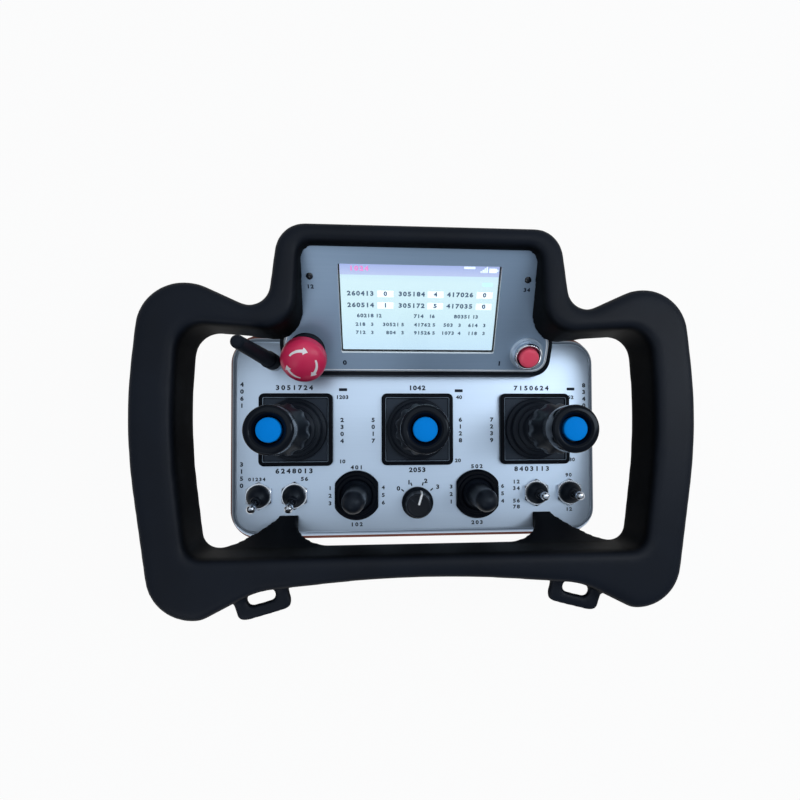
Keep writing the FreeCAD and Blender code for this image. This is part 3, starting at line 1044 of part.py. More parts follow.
# Every object must have recomputed cleanly before anything is written
doc.recompute()
failed = [item.Label for item in doc.Objects if "Invalid" in item.State or "Error" in item.State]
for name, piece in nodes.items():
    if piece.Shape.isNull() or not piece.Shape.isValid() or not piece.Shape.Solids:
        failed.append(name)
if failed:
    raise RuntimeError("not sound: " + ", ".join(failed))
os.makedirs("parts", exist_ok=True)
for name, piece in nodes.items():
    piece.Shape.exportStep("parts/" + name + ".step")
print(len(nodes), "pieces written")
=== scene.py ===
import json
import math

import bmesh
import bpy
from mathutils import Matrix, Vector


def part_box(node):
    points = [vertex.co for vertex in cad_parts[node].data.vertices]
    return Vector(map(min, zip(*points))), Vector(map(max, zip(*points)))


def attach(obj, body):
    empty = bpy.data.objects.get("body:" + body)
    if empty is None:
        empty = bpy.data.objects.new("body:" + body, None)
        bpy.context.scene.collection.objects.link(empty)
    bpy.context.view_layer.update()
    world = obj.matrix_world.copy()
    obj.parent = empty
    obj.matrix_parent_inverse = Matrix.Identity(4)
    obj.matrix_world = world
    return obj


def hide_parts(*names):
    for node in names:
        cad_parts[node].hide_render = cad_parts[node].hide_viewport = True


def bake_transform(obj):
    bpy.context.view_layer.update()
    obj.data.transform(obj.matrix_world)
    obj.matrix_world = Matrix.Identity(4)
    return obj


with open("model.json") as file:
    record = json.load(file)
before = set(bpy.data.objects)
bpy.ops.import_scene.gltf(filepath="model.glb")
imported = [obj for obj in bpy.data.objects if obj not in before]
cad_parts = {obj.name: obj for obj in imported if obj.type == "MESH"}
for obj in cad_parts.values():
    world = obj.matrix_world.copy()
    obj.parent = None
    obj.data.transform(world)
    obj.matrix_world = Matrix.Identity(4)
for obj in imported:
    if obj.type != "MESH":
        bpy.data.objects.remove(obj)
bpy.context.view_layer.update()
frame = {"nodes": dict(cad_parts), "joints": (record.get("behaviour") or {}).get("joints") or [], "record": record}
scene = bpy.context.scene
joints = {joint["name"]: joint for joint in frame["joints"]}
mm = 0.001
sides = ("left", "centre", "right")

# two drawing frames in millimetres: one on the panel, one on the tilted display plate
stickPivot = Vector(joints["joystick_centre_pitch"]["pos_m"])
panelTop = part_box("control_panel")[1].z
panelFrame = Matrix.Translation((0, stickPivot.y, panelTop)) @ Matrix.Scale(mm, 4)
plateOut = Vector(joints["estop_twist"]["axis"]).normalized()
plateUp = Vector((0, plateOut.z, -plateOut.y))
estopUp = 14.9  # the stop button's height on the plate
plateOrigin = Vector((0, *(Vector(joints["estop_twist"]["pos_m"]) - plateUp * estopUp * mm).yz))


def localPoint(name, base):
    return base.inverted() @ Vector(joints[name]["pos_m"])


plateFrame = (Matrix.Translation(plateOrigin)
              @ Matrix(((1, 0, 0), plateUp, plateOut)).transposed().to_4x4() @ Matrix.Scale(mm, 4))
print("frame loaded:", len(frame["nodes"]), "nodes")


# shader groups shared by the finishes
def newGroup(name, inputs, outputs):
    group = bpy.data.node_groups.new(name, "ShaderNodeTree")
    for label, value in inputs.items():
        socket = group.interface.new_socket(label, in_out="INPUT", socket_type="NodeSocketFloat")
        socket.default_value = value
    for label in outputs:
        group.interface.new_socket(label, in_out="OUTPUT", socket_type="NodeSocketFloat")
    return group, group.nodes.new("NodeGroupInput"), group.nodes.new("NodeGroupOutput")


def feed(tree, node, values):
    # a socket is linked, anything else is set as the input's own value
    for label, value in values.items():
        if hasattr(value, "links"):
            tree.links.new(value, node.inputs[label])
        else:
            node.inputs[label].default_value = value


def addNode(tree, kind, values=None, **settings):
    node = tree.nodes.new("ShaderNode" + kind)
    for key, value in settings.items():
        setattr(node, key, value)
    feed(tree, node, values or {})
    return node


def objectPlace(tree):
    return addNode(tree, "TexCoord").outputs["Object"]


def remap(tree, source, low, high, toLow=0.0, toHigh=1.0):
    return addNode(tree, "MapRange", {"Value": source, "From Min": low, "From Max": high, "To Min": toLow,
                                      "To Max": toHigh}).outputs["Result"]


def makeGrain():
    # pebbled moulding skin: fine height for the bump, slow tone for the colour
    group, start, end = newGroup("mouldedGrain", {"Scale": 900.0}, ("Height", "Tone"))
    place, scale = objectPlace(group), start.outputs["Scale"]
    fine = addNode(group, "TexNoise", {"Vector": place, "Scale": scale, "Detail": 3.0})
    cells = addNode(group, "TexVoronoi", {"Vector": place, "Scale": scale})
    slow = addNode(group, "TexNoise", {"Vector": place, "Scale": 26.0, "Detail": 4.0})
    height = addNode(group, "Math", {0: cells.outputs["Distance"], 1: 0.6, 2: fine.outputs["Fac"]},
                     operation="MULTIPLY_ADD")
    feed(group, end,
         {"Height": height.outputs["Value"], "Tone": remap(group, slow.outputs["Fac"], 0.35, 0.65)})
    return group


def makeHandling():
    # where fingers polish a surface: soft patches for the roughness
    group, start, end = newGroup("handlingMarks", {"Scale": 35.0}, ("Mask",))
    patches = addNode(group, "TexNoise", {"Vector": objectPlace(group), "Scale": start.outputs["Scale"],
                                          "Detail": 3.0, "Roughness": 0.5})
    feed(group, end, {"Mask": remap(group, patches.outputs["Fac"], 0.2, 0.8)})
    return group


def makeEdgeWearAndHighlight():
    # lighter convex edges, broken up by noise: partly wear, partly painted highlight
    group, start, end = newGroup("edgeWearAndHighlight", {"From": 0.52, "To": 0.6}, ("Mask",))
    bend = addNode(group, "NewGeometry").outputs["Pointiness"]
    breakUp = addNode(group, "TexNoise", {"Vector": objectPlace(group), "Scale": 120.0, "Detail": 4.0})
    both = addNode(group, "Math", {0: remap(group, bend, start.outputs["From"], start.outputs["To"]),
                                   1: remap(group, breakUp.outputs["Fac"], 0.35, 0.6)}, operation="MULTIPLY")
    feed(group, end, {"Mask": both.outputs["Value"]})
    return group


def makeBrushed():
    # long fine strokes along X, as a satin sheet has after brushing
    group, start, end = newGroup("brushedSheet", {"Stroke": 14.0, "Across": 1500.0}, ("Height", "Tone"))
    across = start.outputs["Across"]
    scaleBy = addNode(group, "CombineXYZ", {"X": start.outputs["Stroke"], "Y": across, "Z": across})
    stretched = addNode(group, "VectorMath", {0: objectPlace(group), 1: scaleBy.outputs["Vector"]},
                        operation="MULTIPLY")
    strokes = addNode(group, "TexNoise", {"Vector": stretched.outputs["Vector"], "Scale": 1.0, "Detail": 3.0})
    feed(group, end,
         {"Height": strokes.outputs["Fac"], "Tone": remap(group, strokes.outputs["Fac"], 0.3, 0.7)})
    return group


def makeUpFacing():
    # 1 on the crests that look up, 0 on walls and undersides
    group, start, end = newGroup("upFacing", {"From": 0.1, "To": 0.85}, ("Mask",))
    parts = addNode(group, "SeparateXYZ", {"Vector": addNode(group, "NewGeometry").outputs["Normal"]})
    feed(group, end, {"Mask": remap(group, parts.outputs["Z"], start.outputs["From"], start.outputs["To"])})
    return group


mouldedGrain = makeGrain()
handlingMarks = makeHandling()
edgeWearAndHighlight = makeEdgeWearAndHighlight()
brushedSheet = makeBrushed()
upFacing = makeUpFacing()
print("shader groups ready")


# finishes, each from its own values: two tones, roughness between two limits, grain, lighter convex edges (wear
# and painted highlight), painted shade on walls below coat-polished crests
def placeGroup(tree, group, **values):
    node = tree.nodes.new("ShaderNodeGroup")
    node.node_tree = group
    feed(tree, node, values)
    return node


def mixColours(tree, factor, dark, light):
    node = addNode(tree, "Mix", {"Factor": factor}, data_type="RGBA")
    for socket, colour in ((6, dark), (7, light)):  # the two colour inputs of the node
        feed(tree, node, {socket: colour if hasattr(colour, "links") else (*colour, 1)})
    return node.outputs[2]


def newMaterial(name):
    material = bpy.data.materials.new(name)
    material.use_nodes = True
    return material, material.node_tree, material.node_tree.nodes["Principled BSDF"]


def markedRoughness(tree, scale, low, high):
    marks = placeGroup(tree, handlingMarks, Scale=scale)
    return remap(tree, marks.outputs["Mask"], 0, 1, low, high)


socketOf = dict(spec="Specular IOR Level", metal="Metallic", tint="Specular Tint")


def makeFinish(name, look):
    material, tree, shader = newMaterial(name)
    if look.get("brushed"):
        grain = placeGroup(tree, brushedSheet, **look["brushed"])
    else:
        grain = placeGroup(tree, mouldedGrain, Scale=look["grain"])
    colour = mixColours(tree, grain.outputs["Tone"], look["dark"], look["light"])
    # convex edges take a lighter colour: wear, and a painted highlight
    if look.get("rubbed"):
        rub = placeGroup(tree, edgeWearAndHighlight, **look.get("rubSpan", {}))
        colour = mixColours(tree, rub.outputs["Mask"], colour, look["rubbed"])
    if look.get("deep"):  # painted shade: walls and undersides take the darker colour, up-facing crests keep theirs and get a coat, as polished by hands
        facing = placeGroup(tree, upFacing, **look["facing"]).outputs["Mask"]
        colour = mixColours(tree, facing, look["deep"], colour)
        feed(tree, shader, {"Coat Weight": remap(tree, facing, 0, 1, 0, look["polish"])})
    bump = addNode(tree, "Bump", {"Strength": look.get("bump", 0.15), "Distance": look.get("depth", 0.0001),
                                  "Height": grain.outputs["Height"]})
    feed(tree, shader, {"Base Color": colour, "Normal": bump.outputs["Normal"],
                        "Roughness": markedRoughness(tree, look.get("marks", 35.0), *look["rough"]),
                        **{socketOf[key]: look[key] for key in socketOf if key in look},
                        **look.get("sockets", {})})
    if look.get("glow"):
        feed(tree, shader, {"Emission Color": colour, "Emission Strength": look["glow"]})
    return material


def finish(dark, light, rough, grain=None, **more):
    return dict(dark=dark, light=light, rough=rough, grain=grain, **more)


finishes = {
    # frame_black: its lighter convex edges are wear and painted highlight
    "frame_black": finish((0.0026, 0.0046, 0.0092), (0.0036, 0.0062, 0.0122), (0.6, 0.7), 1500, bump=0.2,
        depth=0.0001, rubbed=(0.008, 0.011, 0.018), rubSpan=dict(From=0.53, To=0.66),
        # deep: painted shade on the frame's walls and undersides, set by how far the surface faces up
        deep=(0.0008, 0.0009, 0.0012), facing=dict(From=0.1, To=0.85), polish=0.32, spec=0.06,
        sockets={"Coat Roughness": 0.42, "Coat IOR": 1.36}),
    "housing_black": finish((0.004, 0.006, 0.010), (0.007, 0.010, 0.015), (0.4, 0.55), 1200, bump=0.2,
        spec=0.15),
    "panel_grey": finish((0.480, 0.585, 0.720), (0.495, 0.60, 0.735), (0.35, 0.39), marks=12,
        brushed=dict(Stroke=14.0, Across=1700.0), bump=0.015, depth=0.00003, metal=0.9),
    # panel_roll: painted dark reflection on the rolled edge
    "panel_roll": finish((0.095, 0.125, 0.165), (0.125, 0.16, 0.205), (0.4, 0.5), marks=20,
        brushed=dict(Stroke=14.0, Across=1700.0), bump=0.015, depth=0.00003, metal=0.7),
    "plate_grey": finish((0.255, 0.355, 0.485), (0.27, 0.37, 0.50), (0.32, 0.38), marks=14,
        brushed=dict(Stroke=18.0, Across=1500.0), bump=0.015, depth=0.00003, metal=0.35),
    # plate_edge: near-white painted highlight on the plate's edges and rim band
    "plate_edge": finish((0.86, 0.90, 0.94), (0.90, 0.94, 0.97), (0.3, 0.4), 1800, bump=0.03, metal=0.1),
    "seal_red": finish((0.20, 0.05, 0.03), (0.30, 0.085, 0.05), (0.55, 0.7), 700),
    "rubber_black": finish((0.005, 0.007, 0.012), (0.008, 0.011, 0.017), (0.38, 0.5), 1300, bump=0.22,
        spec=0.2, tint=(0.75, 0.87, 1.0, 1)),
    "bezel_black": finish((0.0018, 0.003, 0.006), (0.003, 0.0045, 0.0085), (0.34, 0.46), 1600, spec=0.05),
    "bezel_floor": finish((0.019, 0.029, 0.045), (0.024, 0.035, 0.053), (0.42, 0.52), 1600, spec=0.15),
    "grip_black": finish((0.004, 0.0058, 0.0095), (0.006, 0.0085, 0.0135), (0.36, 0.46), 1800, bump=0.06,
        spec=0.3, tint=(0.75, 0.87, 1.0, 1)),
    "grip_gloss": finish((0.002, 0.003, 0.0055), (0.0034, 0.0048, 0.0082), (0.1, 0.16), 1800, bump=0.03,
        spec=0.11, tint=(0.8, 0.9, 1.0, 1)),
    # knob_black: its lighter edges are wear and painted highlight
    "knob_black": finish((0.004, 0.006, 0.011), (0.007, 0.010, 0.016), (0.3, 0.42), 1500,
        rubbed=(0.02, 0.027, 0.038), spec=0.15),
    "whip_black": finish((0.006, 0.008, 0.013), (0.009, 0.012, 0.018), (0.55, 0.65), 1300, bump=0.2,
        spec=0.06),
    "button_blue": finish((0.001, 0.19, 0.62), (0.002, 0.215, 0.68), (0.4, 0.5), 1500, bump=0.05, spec=0.05,
        tint=(0.3, 0.7, 1.0, 1)),
    # estop_red: the lighter pink on the head's rim and ribs is a painted highlight
    "estop_red": finish((0.60, 0.020, 0.085), (0.68, 0.030, 0.105), (0.26, 0.38), 1500, bump=0.05,
        rubbed=(0.80, 0.30, 0.38), rubSpan=dict(From=0.56, To=0.72), spec=0.35),
    "start_red": finish((0.78, 0.065, 0.125), (0.88, 0.095, 0.165), (0.28, 0.38), 1500, bump=0.05, spec=0.3),
    "bright_metal": finish((0.48, 0.52, 0.58), (0.60, 0.64, 0.70), (0.16, 0.28), 2200, bump=0.04, metal=1.0),
    "ring_chrome": finish((0.70, 0.74, 0.80), (0.80, 0.84, 0.90), (0.08, 0.16), 2200, bump=0.02, metal=1.0),
    "socket_metal": finish((0.42, 0.43, 0.45), (0.52, 0.53, 0.55), (0.25, 0.4), 1600, metal=1.0),
    "shield_steel": finish((0.46, 0.47, 0.49), (0.56, 0.57, 0.59), (0.28, 0.42), 1600, metal=1.0),
    "battery_dark": finish((0.020, 0.022, 0.026), (0.030, 0.033, 0.038), (0.35, 0.5), 900),
    "board_green": finish((0.012, 0.075, 0.035), (0.020, 0.105, 0.05), (0.3, 0.45), 1100),
    "lens_dark": finish((0.004, 0.006, 0.010), (0.010, 0.014, 0.020), (0.08, 0.16), 1800, bump=0.02),
    "pointer_white": finish((0.74, 0.77, 0.80), (0.84, 0.86, 0.88), (0.4, 0.52), 1400),
    "arrow_white": finish((0.78, 0.74, 0.76), (0.88, 0.84, 0.86), (0.4, 0.5), 1400),
    "print_ink": finish((0.004, 0.009, 0.022), (0.010, 0.018, 0.036), (0.5, 0.65), 1500, spec=0.2),
    "ring_seat": finish((0.46, 0.57, 0.69), (0.52, 0.63, 0.75), (0.24, 0.34), 1900, bump=0.03, metal=0.5),
    "flange_grey": finish((0.22, 0.29, 0.37), (0.27, 0.34, 0.43), (0.3, 0.42), 1500),
    "screen": finish((0.02, 0.02, 0.025), (0.03, 0.03, 0.035), (0.3, 0.4), 1200),
    "screen_white": finish((0.80, 0.92, 1.0), (0.86, 0.96, 1.0), (0.4, 0.5), 600, glow=0.98),
    "screen_ink": finish((0.045, 0.09, 0.16), (0.07, 0.12, 0.2), (0.4, 0.5), 900, glow=0.5),
    "screen_pink": finish((0.75, 0.16, 0.50), (0.85, 0.24, 0.58), (0.4, 0.5), 900, glow=0.9),
    "screen_cyan": finish((0.42, 0.86, 0.95), (0.5, 0.92, 1.0), (0.4, 0.5), 900, glow=0.9),
}
finishOf = {name: makeFinish(name, look) for name, look in finishes.items()}


def makeScreenGlow(name, stops, low, high):
    # lit picture: colour runs up the tilted plate
    material, tree, shader = newMaterial(name)
    along = addNode(tree, "VectorMath", {0: objectPlace(tree), 1: plateUp}, operation="DOT_PRODUCT")
    base = plateUp.dot(plateFrame.translation)
    place = remap(tree, along.outputs["Value"], base + low * mm, base + high * mm)
    ramp = addNode(tree, "ValToRGB", {"Fac": place})
    while len(ramp.color_ramp.elements) < len(stops):
        ramp.color_ramp.elements.new(0.5)
    for element, (position, colour) in zip(ramp.color_ramp.elements, stops):
        element.position = position
        element.color = (*colour, 1)
    feed(tree, shader, {"Emission Color": ramp.outputs["Color"], "Emission Strength": 1.0,
                        "Base Color": (0.02, 0.025, 0.03, 1),
                        "Roughness": markedRoughness(tree, 60.0, 0.35, 0.5)})
    return material


def makeGlass(name):
    material, tree, shader = newMaterial(name)
    feed(tree, shader, {"Base Color": (0.96, 0.985, 1.0, 1), "Transmission Weight": 1.0, "IOR": 1.46,
                        "Roughness": markedRoughness(tree, 45.0, 0.0, 0.03)})
    return material


finishOf["window_glass"] = makeGlass("window_glass")
for part in frame["record"]["subparts"]:
    node = frame["nodes"][part["node"]]
    node.data.materials.clear()
    node.data.materials.append(finishOf[part["material_slot"]])
print("finishes ready:", len(finishOf))


# mesh helpers: profiles with rounded corners, stacks of rings, turned solids, flat slabs, figures
def roundedLine(corners, closed=False, steps=5):
    points = []
    last = len(corners) - 1
    for index, corner in enumerate(corners):
        here = Vector(corner[:2])
        radius = corner[2] if len(corner) > 2 else 0
        if not radius or (not closed and index in (0, last)):
            points.append(here)
            continue
        before = Vector(corners[index - 1][:2]) - here
        after = Vector(corners[(index + 1) % len(corners)][:2]) - here
        half = before.angle(after) / 2
        reach = min(radius / math.tan(half), before.length * 0.49, after.length * 0.49)
        radius = reach * math.tan(half)
        middle = here + (before.normalized() + after.normalized()).normalized() * radius / math.sin(half)
        arm = here + before.normalized() * reach - middle
        turn = -arm.angle_signed(here + after.normalized() * reach - middle)
        for step in range(steps + 1):
            points.append(middle + Matrix.Rotation(turn * step / steps, 2) @ arm)
    return points


def joinRings(bm, rings, closed=False, finishIndex=None):
    # rings of equal length, or single points at the poles
    made = [[bm.verts.new(point) for point in ring] for ring in rings]
    pairs = list(zip(made, made[1:]))
    if closed:
        pairs.append((made[-1], made[0]))
    for strip, (one, two) in enumerate(pairs):
        count = max(len(one), len(two))
        for step in range(count):
            corners = [one[step % len(one)], one[(step + 1) % len(one)],
                       two[(step + 1) % len(two)], two[step % len(two)]]
            unique = list(dict.fromkeys(corners))
            if len(unique) > 2:
                face = bm.faces.new(unique)
                face.material_index = finishIndex(strip) if finishIndex else 0
    return bm


def turned(bm, profile, turns=64, closed=False, shape=None, place=None, finishIndex=None):
    # profile of (radius, height) turned about Z; shape may move a point
    rings = []
    for radius, height in profile:
        ring = []
        for step in range(1 if radius < 1e-6 else turns):
            angle = 2 * math.pi * step / turns
            far = shape(angle, radius, height) if shape else radius
            point = Vector((far * math.cos(angle), far * math.sin(angle), height))
            ring.append(place @ point if place else point)
        rings.append(ring)
    return joinRings(bm, rings, closed, finishIndex)


def roundedBox(half, deep, corner, steps=7, along=1):
    # outline of a rectangle with round corners, counter-clockwise, each side in so many lengths
    quarters = []
    for quarter, (signX, signY) in enumerate(((1, 1), (-1, 1), (-1, -1), (1, -1))):
        turns = [math.pi / 2 * (quarter + step / steps) for step in range(steps + 1)]
        quarters.append([Vector((signX * (half - corner) + corner * math.cos(turn),
                                 signY * (deep - corner) + corner * math.sin(turn))) for turn in turns])
    outline = []
    for one, two in zip(quarters, quarters[1:] + quarters[:1]):
        outline += one + [one[-1].lerp(two[0], step / along) for step in range(1, along)]
    return outline


def slab(bm, outline, low, high, place=Matrix(), edge=0.0):
    # closed flat solid over an outline, its upper edge bevelled by insetting towards the middle
    middle = sum((Vector(point) for point in outline), Vector((0, 0))) / len(outline)
    levels = [(low, 0.0), (high - edge, 0.0)] + ([(high, edge)] if edge else [])
    rings = []
    for height, inset in levels:
        ring = []
        for point in outline:
            arm = Vector(point) - middle
            arm = arm * max(0.0, 1 - inset / max(arm.length, 1e-6))
            ring.append(place @ Vector((*(middle + arm), height)))
        rings.append(ring)
    rings = [[place @ Vector((*middle, low))]] + rings + [[place @ Vector((*middle, high))]]
    return joinRings(bm, rings)


def joinCapped(bm, rings):
    # an open stack of rings, closed from the middle of its first and last ring
    ends = [[sum(rings[end], Vector()) / len(rings[end])] for end in (0, -1)]
    return joinRings(bm, [ends[0]] + rings + [ends[1]])


def eased(share):
    # 0 to 1 with soft ends
    share = min(max(share, 0.0), 1.0)
    return share * share * (3 - 2 * share)


def wave(angle, count):
    return 0.5 + 0.5 * math.cos(angle * count)


def addObject(name, data):
    piece = bpy.data.objects.new(name, data)
    scene.collection.objects.link(piece)
    return piece


def arc(radius, first, last, step, centre, tall=None):
    # points of a turned profile on a circle, or on an ellipse that is so tall
    angles = [math.radians(degrees) for degrees in range(first, last, step)]
    return [(radius * math.cos(angle), centre + (tall or radius) * math.sin(angle)) for angle in angles]


glyphs = {}


def glyphMesh(character):
    if character not in glyphs:
        curve = bpy.data.curves.new("glyph", "FONT")
        curve.body = character
        curve.align_x = "CENTER"
        curve.align_y = "CENTER"
        curve.resolution_u = 3
        curve.offset = 0.045
        curve.extrude = 0.5
        text = addObject("glyph", curve)
        shape = text.evaluated_get(bpy.context.evaluated_depsgraph_get())
        glyphs[character] = bpy.data.meshes.new_from_object(shape)
        bpy.data.objects.remove(text)
        bpy.data.curves.remove(curve)
    return glyphs[character]


def writeDigits(bm, text, x, y, size, pitch=None, down=False, low=-0.02, thick=0.08, broad=1.3, tall=1.12):
    # a row of figures, or a column when down is set
    pitch = pitch or size * 0.8
    for index, character in enumerate(text):
        step = (index - (len(text) - 1) / 2) * pitch
        place = Vector((x, y - step, low + thick / 2)) if down else Vector((x + step, y, low + thick / 2))
        before = len(bm.verts)
        bm.from_mesh(glyphMesh(character))
        bm.verts.ensure_lookup_table()
        for vertex in bm.verts[before:]:
            vertex.co = Vector((vertex.co.x * size * broad, vertex.co.y * size * tall,
                                vertex.co.z * thick)) + place


def levelled(mesh, facing, flat=0.9999):
    # faces that look this way keep their own normal up to their rounded edges
    normals = [corner.vector.copy() for corner in mesh.corner_normals]
    for face in mesh.polygons:
        if face.normal.dot(facing) > flat:
            for corner in face.loop_indices:
                normals[corner] = face.normal.copy()
    mesh.normals_split_custom_set(normals)


def addPiece(name, bm, place, looks, body=None, stands=(), sharp=38, level=None):
    bmesh.ops.transform(bm, matrix=place, verts=bm.verts)
    bmesh.ops.remove_doubles(bm, verts=bm.verts, dist=1e-7)
    bmesh.ops.recalc_face_normals(bm, faces=bm.faces)
    mesh = bpy.data.meshes.new(name)
    bm.to_mesh(mesh)
    bm.free()
    for look in looks:
        mesh.materials.append(finishOf[look])
    mesh.polygons.foreach_set("use_smooth", [True] * len(mesh.polygons))
    mesh.set_sharp_from_angle(angle=math.radians(sharp))
    if level:
        levelled(mesh, level)
    piece = addObject(name, mesh)
    if body:
        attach(piece, body)
    if stands:
        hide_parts(*stands)
    return piece


def at(x, y, z=0.0):
    return Matrix.Translation((x, y, z))


# yoke frame: the solid's skin remeshed and relaxed, so that struts, hood and lugs run into the ring
yoke = dict(voxel=0.0013, relax=0.5, rounds=14, seat=0.0008, clear=0.005, hoodHalf=0.09)


def seatedShare(point):
    # 0 where the frame stands on the plate or the panel, 1 a few millimetres away
    away = point.z - panelTop
    if abs(point.x) < yoke["hoodHalf"] and point.y > 0:
        away = min(away, abs((point - plateFrame.translation).dot(plateOut)))
    return eased((away - yoke["seat"]) / yoke["clear"])


def evaluated(blank, name):
    mesh = bpy.data.meshes.new_from_object(blank.evaluated_get(bpy.context.evaluated_depsgraph_get()))
    bpy.data.objects.remove(blank)
    mesh.name = name
    return mesh


def relaxedCopy(name, node, look):
    mesh = node.data.copy()
    bm = bmesh.new()
    bm.from_mesh(mesh)
    bmesh.ops.remove_doubles(bm, verts=bm.verts, dist=2e-6)
    bm.to_mesh(mesh)
    bm.free()
    blank = addObject(name + "Blank", mesh)
    remesh = blank.modifiers.new("skin", "REMESH")
    remesh.mode = "VOXEL"
    remesh.voxel_size = yoke["voxel"]
    blank = addObject(name + "Blank", evaluated(blank, name + "Blank"))
    group = blank.vertex_groups.new(name="free")
    for vertex in blank.data.vertices:
        group.add([vertex.index], seatedShare(vertex.co), "REPLACE")
    soft = blank.modifiers.new("relax", "SMOOTH")
    soft.factor = yoke["relax"]
    soft.iterations = yoke["rounds"]
    soft.vertex_group = "free"
    skin = evaluated(blank, name)
    skin.materials.clear()
    skin.materials.append(finishOf[look])
    skin.polygons.foreach_set("use_smooth", [True] * len(skin.polygons))
    return addObject(name, skin)


yokePiece = relaxedCopy("yokeFrame", frame["nodes"]["yoke_frame"], "frame_black")
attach(yokePiece, "housing")
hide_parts("yoke_frame")
print("yoke frame:", len(yokePiece.data.polygons), "faces")

# control panel: the solid's own skin, satin on its flat top; the rolled edge beside and behind it is painted dark,
# a painted reflection of the black frame
panelFace = dict(flat=0.97, near=-0.35)
bm = bmesh.new()
bm.from_mesh(frame["nodes"]["control_panel"].data)
bm.normal_update()
for face in bm.faces:
    face.material_index = 0 if face.normal.z > panelFace["flat"] or face.normal.y < panelFace["near"] else 1
addPiece("controlPanel", bm, Matrix(), ("panel_grey", "panel_roll"), "housing", stands=("control_panel",),
         level=Vector((0, 0, 1)))

# display plate: the solid's own skin with a satin face; its cut edges and a narrow band along the lower and side
# edges are near-white, a painted highlight
plateHighlight = dict(width=0.6, low=2.5, half=75.0, face=0.9, flat=0.999)
bm = bmesh.new()
bm.from_mesh(frame["nodes"]["display_plate"].data)
bmesh.ops.remove_doubles(bm, verts=bm.verts, dist=2e-6)
bm.normal_update()
for face in bm.faces:
    face.material_index = 0 if face.normal.dot(plateOut) > plateHighlight["face"] else 1
flatFaces = [face for face in bm.faces if face.normal.dot(plateOut) > plateHighlight["flat"]]
rim = bmesh.ops.inset_region(bm, faces=flatFaces, thickness=plateHighlight["width"] * mm, use_even_offset=True,
                             use_boundary=True)
# the band along the lower and side edges takes the painted highlight
for face in rim["faces"]:
    spot = plateFrame.inverted() @ face.calc_center_median()
    if spot.y < plateHighlight["low"] or abs(spot.x) > plateHighlight["half"]:
        face.material_index = 1
addPiece("displayPlate", bm, Matrix(), ("plate_grey", "plate_edge"), "housing", stands=("display_plate",),
         sharp=20, level=plateOut)

# joystick bezels: square frames with a rounded rim, a thin inner edge and a sunk floor
bezel = dict(half=23.65, corner=3.5, height=4.5, edge=0.9, rim=3.0, lip=0.35, floor=3.0, bore=17.0,
             steps=(6, 10))
stickPlaces = {side: localPoint("joystick_%s_pitch" % side, panelFrame) for side in sides}


def bezelMesh(bm, x, y):
    inset = roundedLine([(0, 0), (0, bezel["height"], bezel["edge"]),
                         (bezel["rim"] - bezel["lip"], bezel["height"]),
                         (bezel["rim"], bezel["height"] - bezel["lip"]),
                         (bezel["rim"] + 0.15, bezel["floor"] + 0.3),
                         (bezel["rim"] + 0.45, bezel["floor"])])
    rings = []
    for far, height in inset:
        half = bezel["half"] - far
        outline = roundedBox(half, half, max(bezel["corner"] - far, 0.6), *bezel["steps"])
        rings.append([Vector((x + a, y + b, height)) for a, b in outline])
    for height in (bezel["floor"], 0):
        ring = []
        for a, b in roundedBox(bezel["half"], bezel["half"], bezel["corner"], *bezel["steps"]):
            arm = Vector((a, b)).normalized() * bezel["bore"]
            ring.append(Vector((x + arm.x, y + arm.y, height)))
        rings.append(ring)
    count = len(inset)
    joinRings(bm, rings, True, lambda strip: 1 if strip == count - 4 else 2 if strip == count - 1 else 0)


bm = bmesh.new()
for side in sides:
    bezelMesh(bm, *stickPlaces[side].xy)
addPiece("joystickBezels", bm, panelFrame, ("bezel_black", "flange_grey", "bezel_floor"), "housing",
         stands=("joystick_bezels",), sharp=28)

# joystick boots: a stepped rubber skirt and a cone above it
boot = dict(foot=20.3, low=3.0, step=17.3, stepAt=8.0, seam=14.3, seamAt=13.2, neck=8.5, top=27.5, wall=1.2,
            holdLow=1.5, holdTop=2)
skirtProfile = roundedLine([
    (boot["foot"] - boot["wall"], boot["low"]), (boot["foot"], boot["low"], 0.3), (boot["foot"], 6.6, 0.9),
    (18.2, 7.3, 0.5), (boot["step"], boot["stepAt"], 0.3), (boot["step"], 11.8, 0.9), (15.2, 12.5, 0.5),
    (boot["seam"], boot["seamAt"]), (boot["seam"] - boot["wall"], boot["seamAt"]), (14.2, 11.4, 0.5),
    (15.9, 10.6, 0.5), (16.0, 7.6, 0.5), (17.2, 6.2, 0.5), (19.0, 5.6, 0.5)], True)
coneProfile = roundedLine([
    (boot["seam"], boot["seamAt"]), (14.3, 16.4, 0.9), (12.2, 17.2, 0.5), (11.4, 18.0, 0.4),
    (11.2, 21.4, 0.8), (9.4, 22.6, 0.6), (boot["neck"], 24.5, 0.6), (boot["neck"], boot["top"], 0.4),
    (7.3, boot["top"]), (7.3, 23.8, 0.5), (9.9, 20.8, 0.5), (10.1, 17.2, 0.5), (13.0, 15.6, 0.5),
    (boot["seam"] - boot["wall"], boot["seamAt"])], True)
for side in sides:
    spot = stickPlaces[side].xy.to_3d()
    gimbal, lever = "joystick_%s_gimbal" % side, "joystick_%s_lever" % side
    parts = (("Skirt", skirtProfile, "housing", gimbal, boot["low"] + boot["holdLow"], boot["seamAt"]),
             ("Cone", coneProfile, gimbal, lever, boot["seamAt"], boot["top"] - boot["holdTop"]))
    for label, profile, lower, upper, low, high in parts:
        bm = turned(bmesh.new(), profile, 72, True, place=at(*spot))
        piece = addPiece("boot%s_%s" % (label, side), bm, panelFrame, ("rubber_black",))
        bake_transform(piece)
        if side == "left" and label == "Skirt":
            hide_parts("joystick_boots")

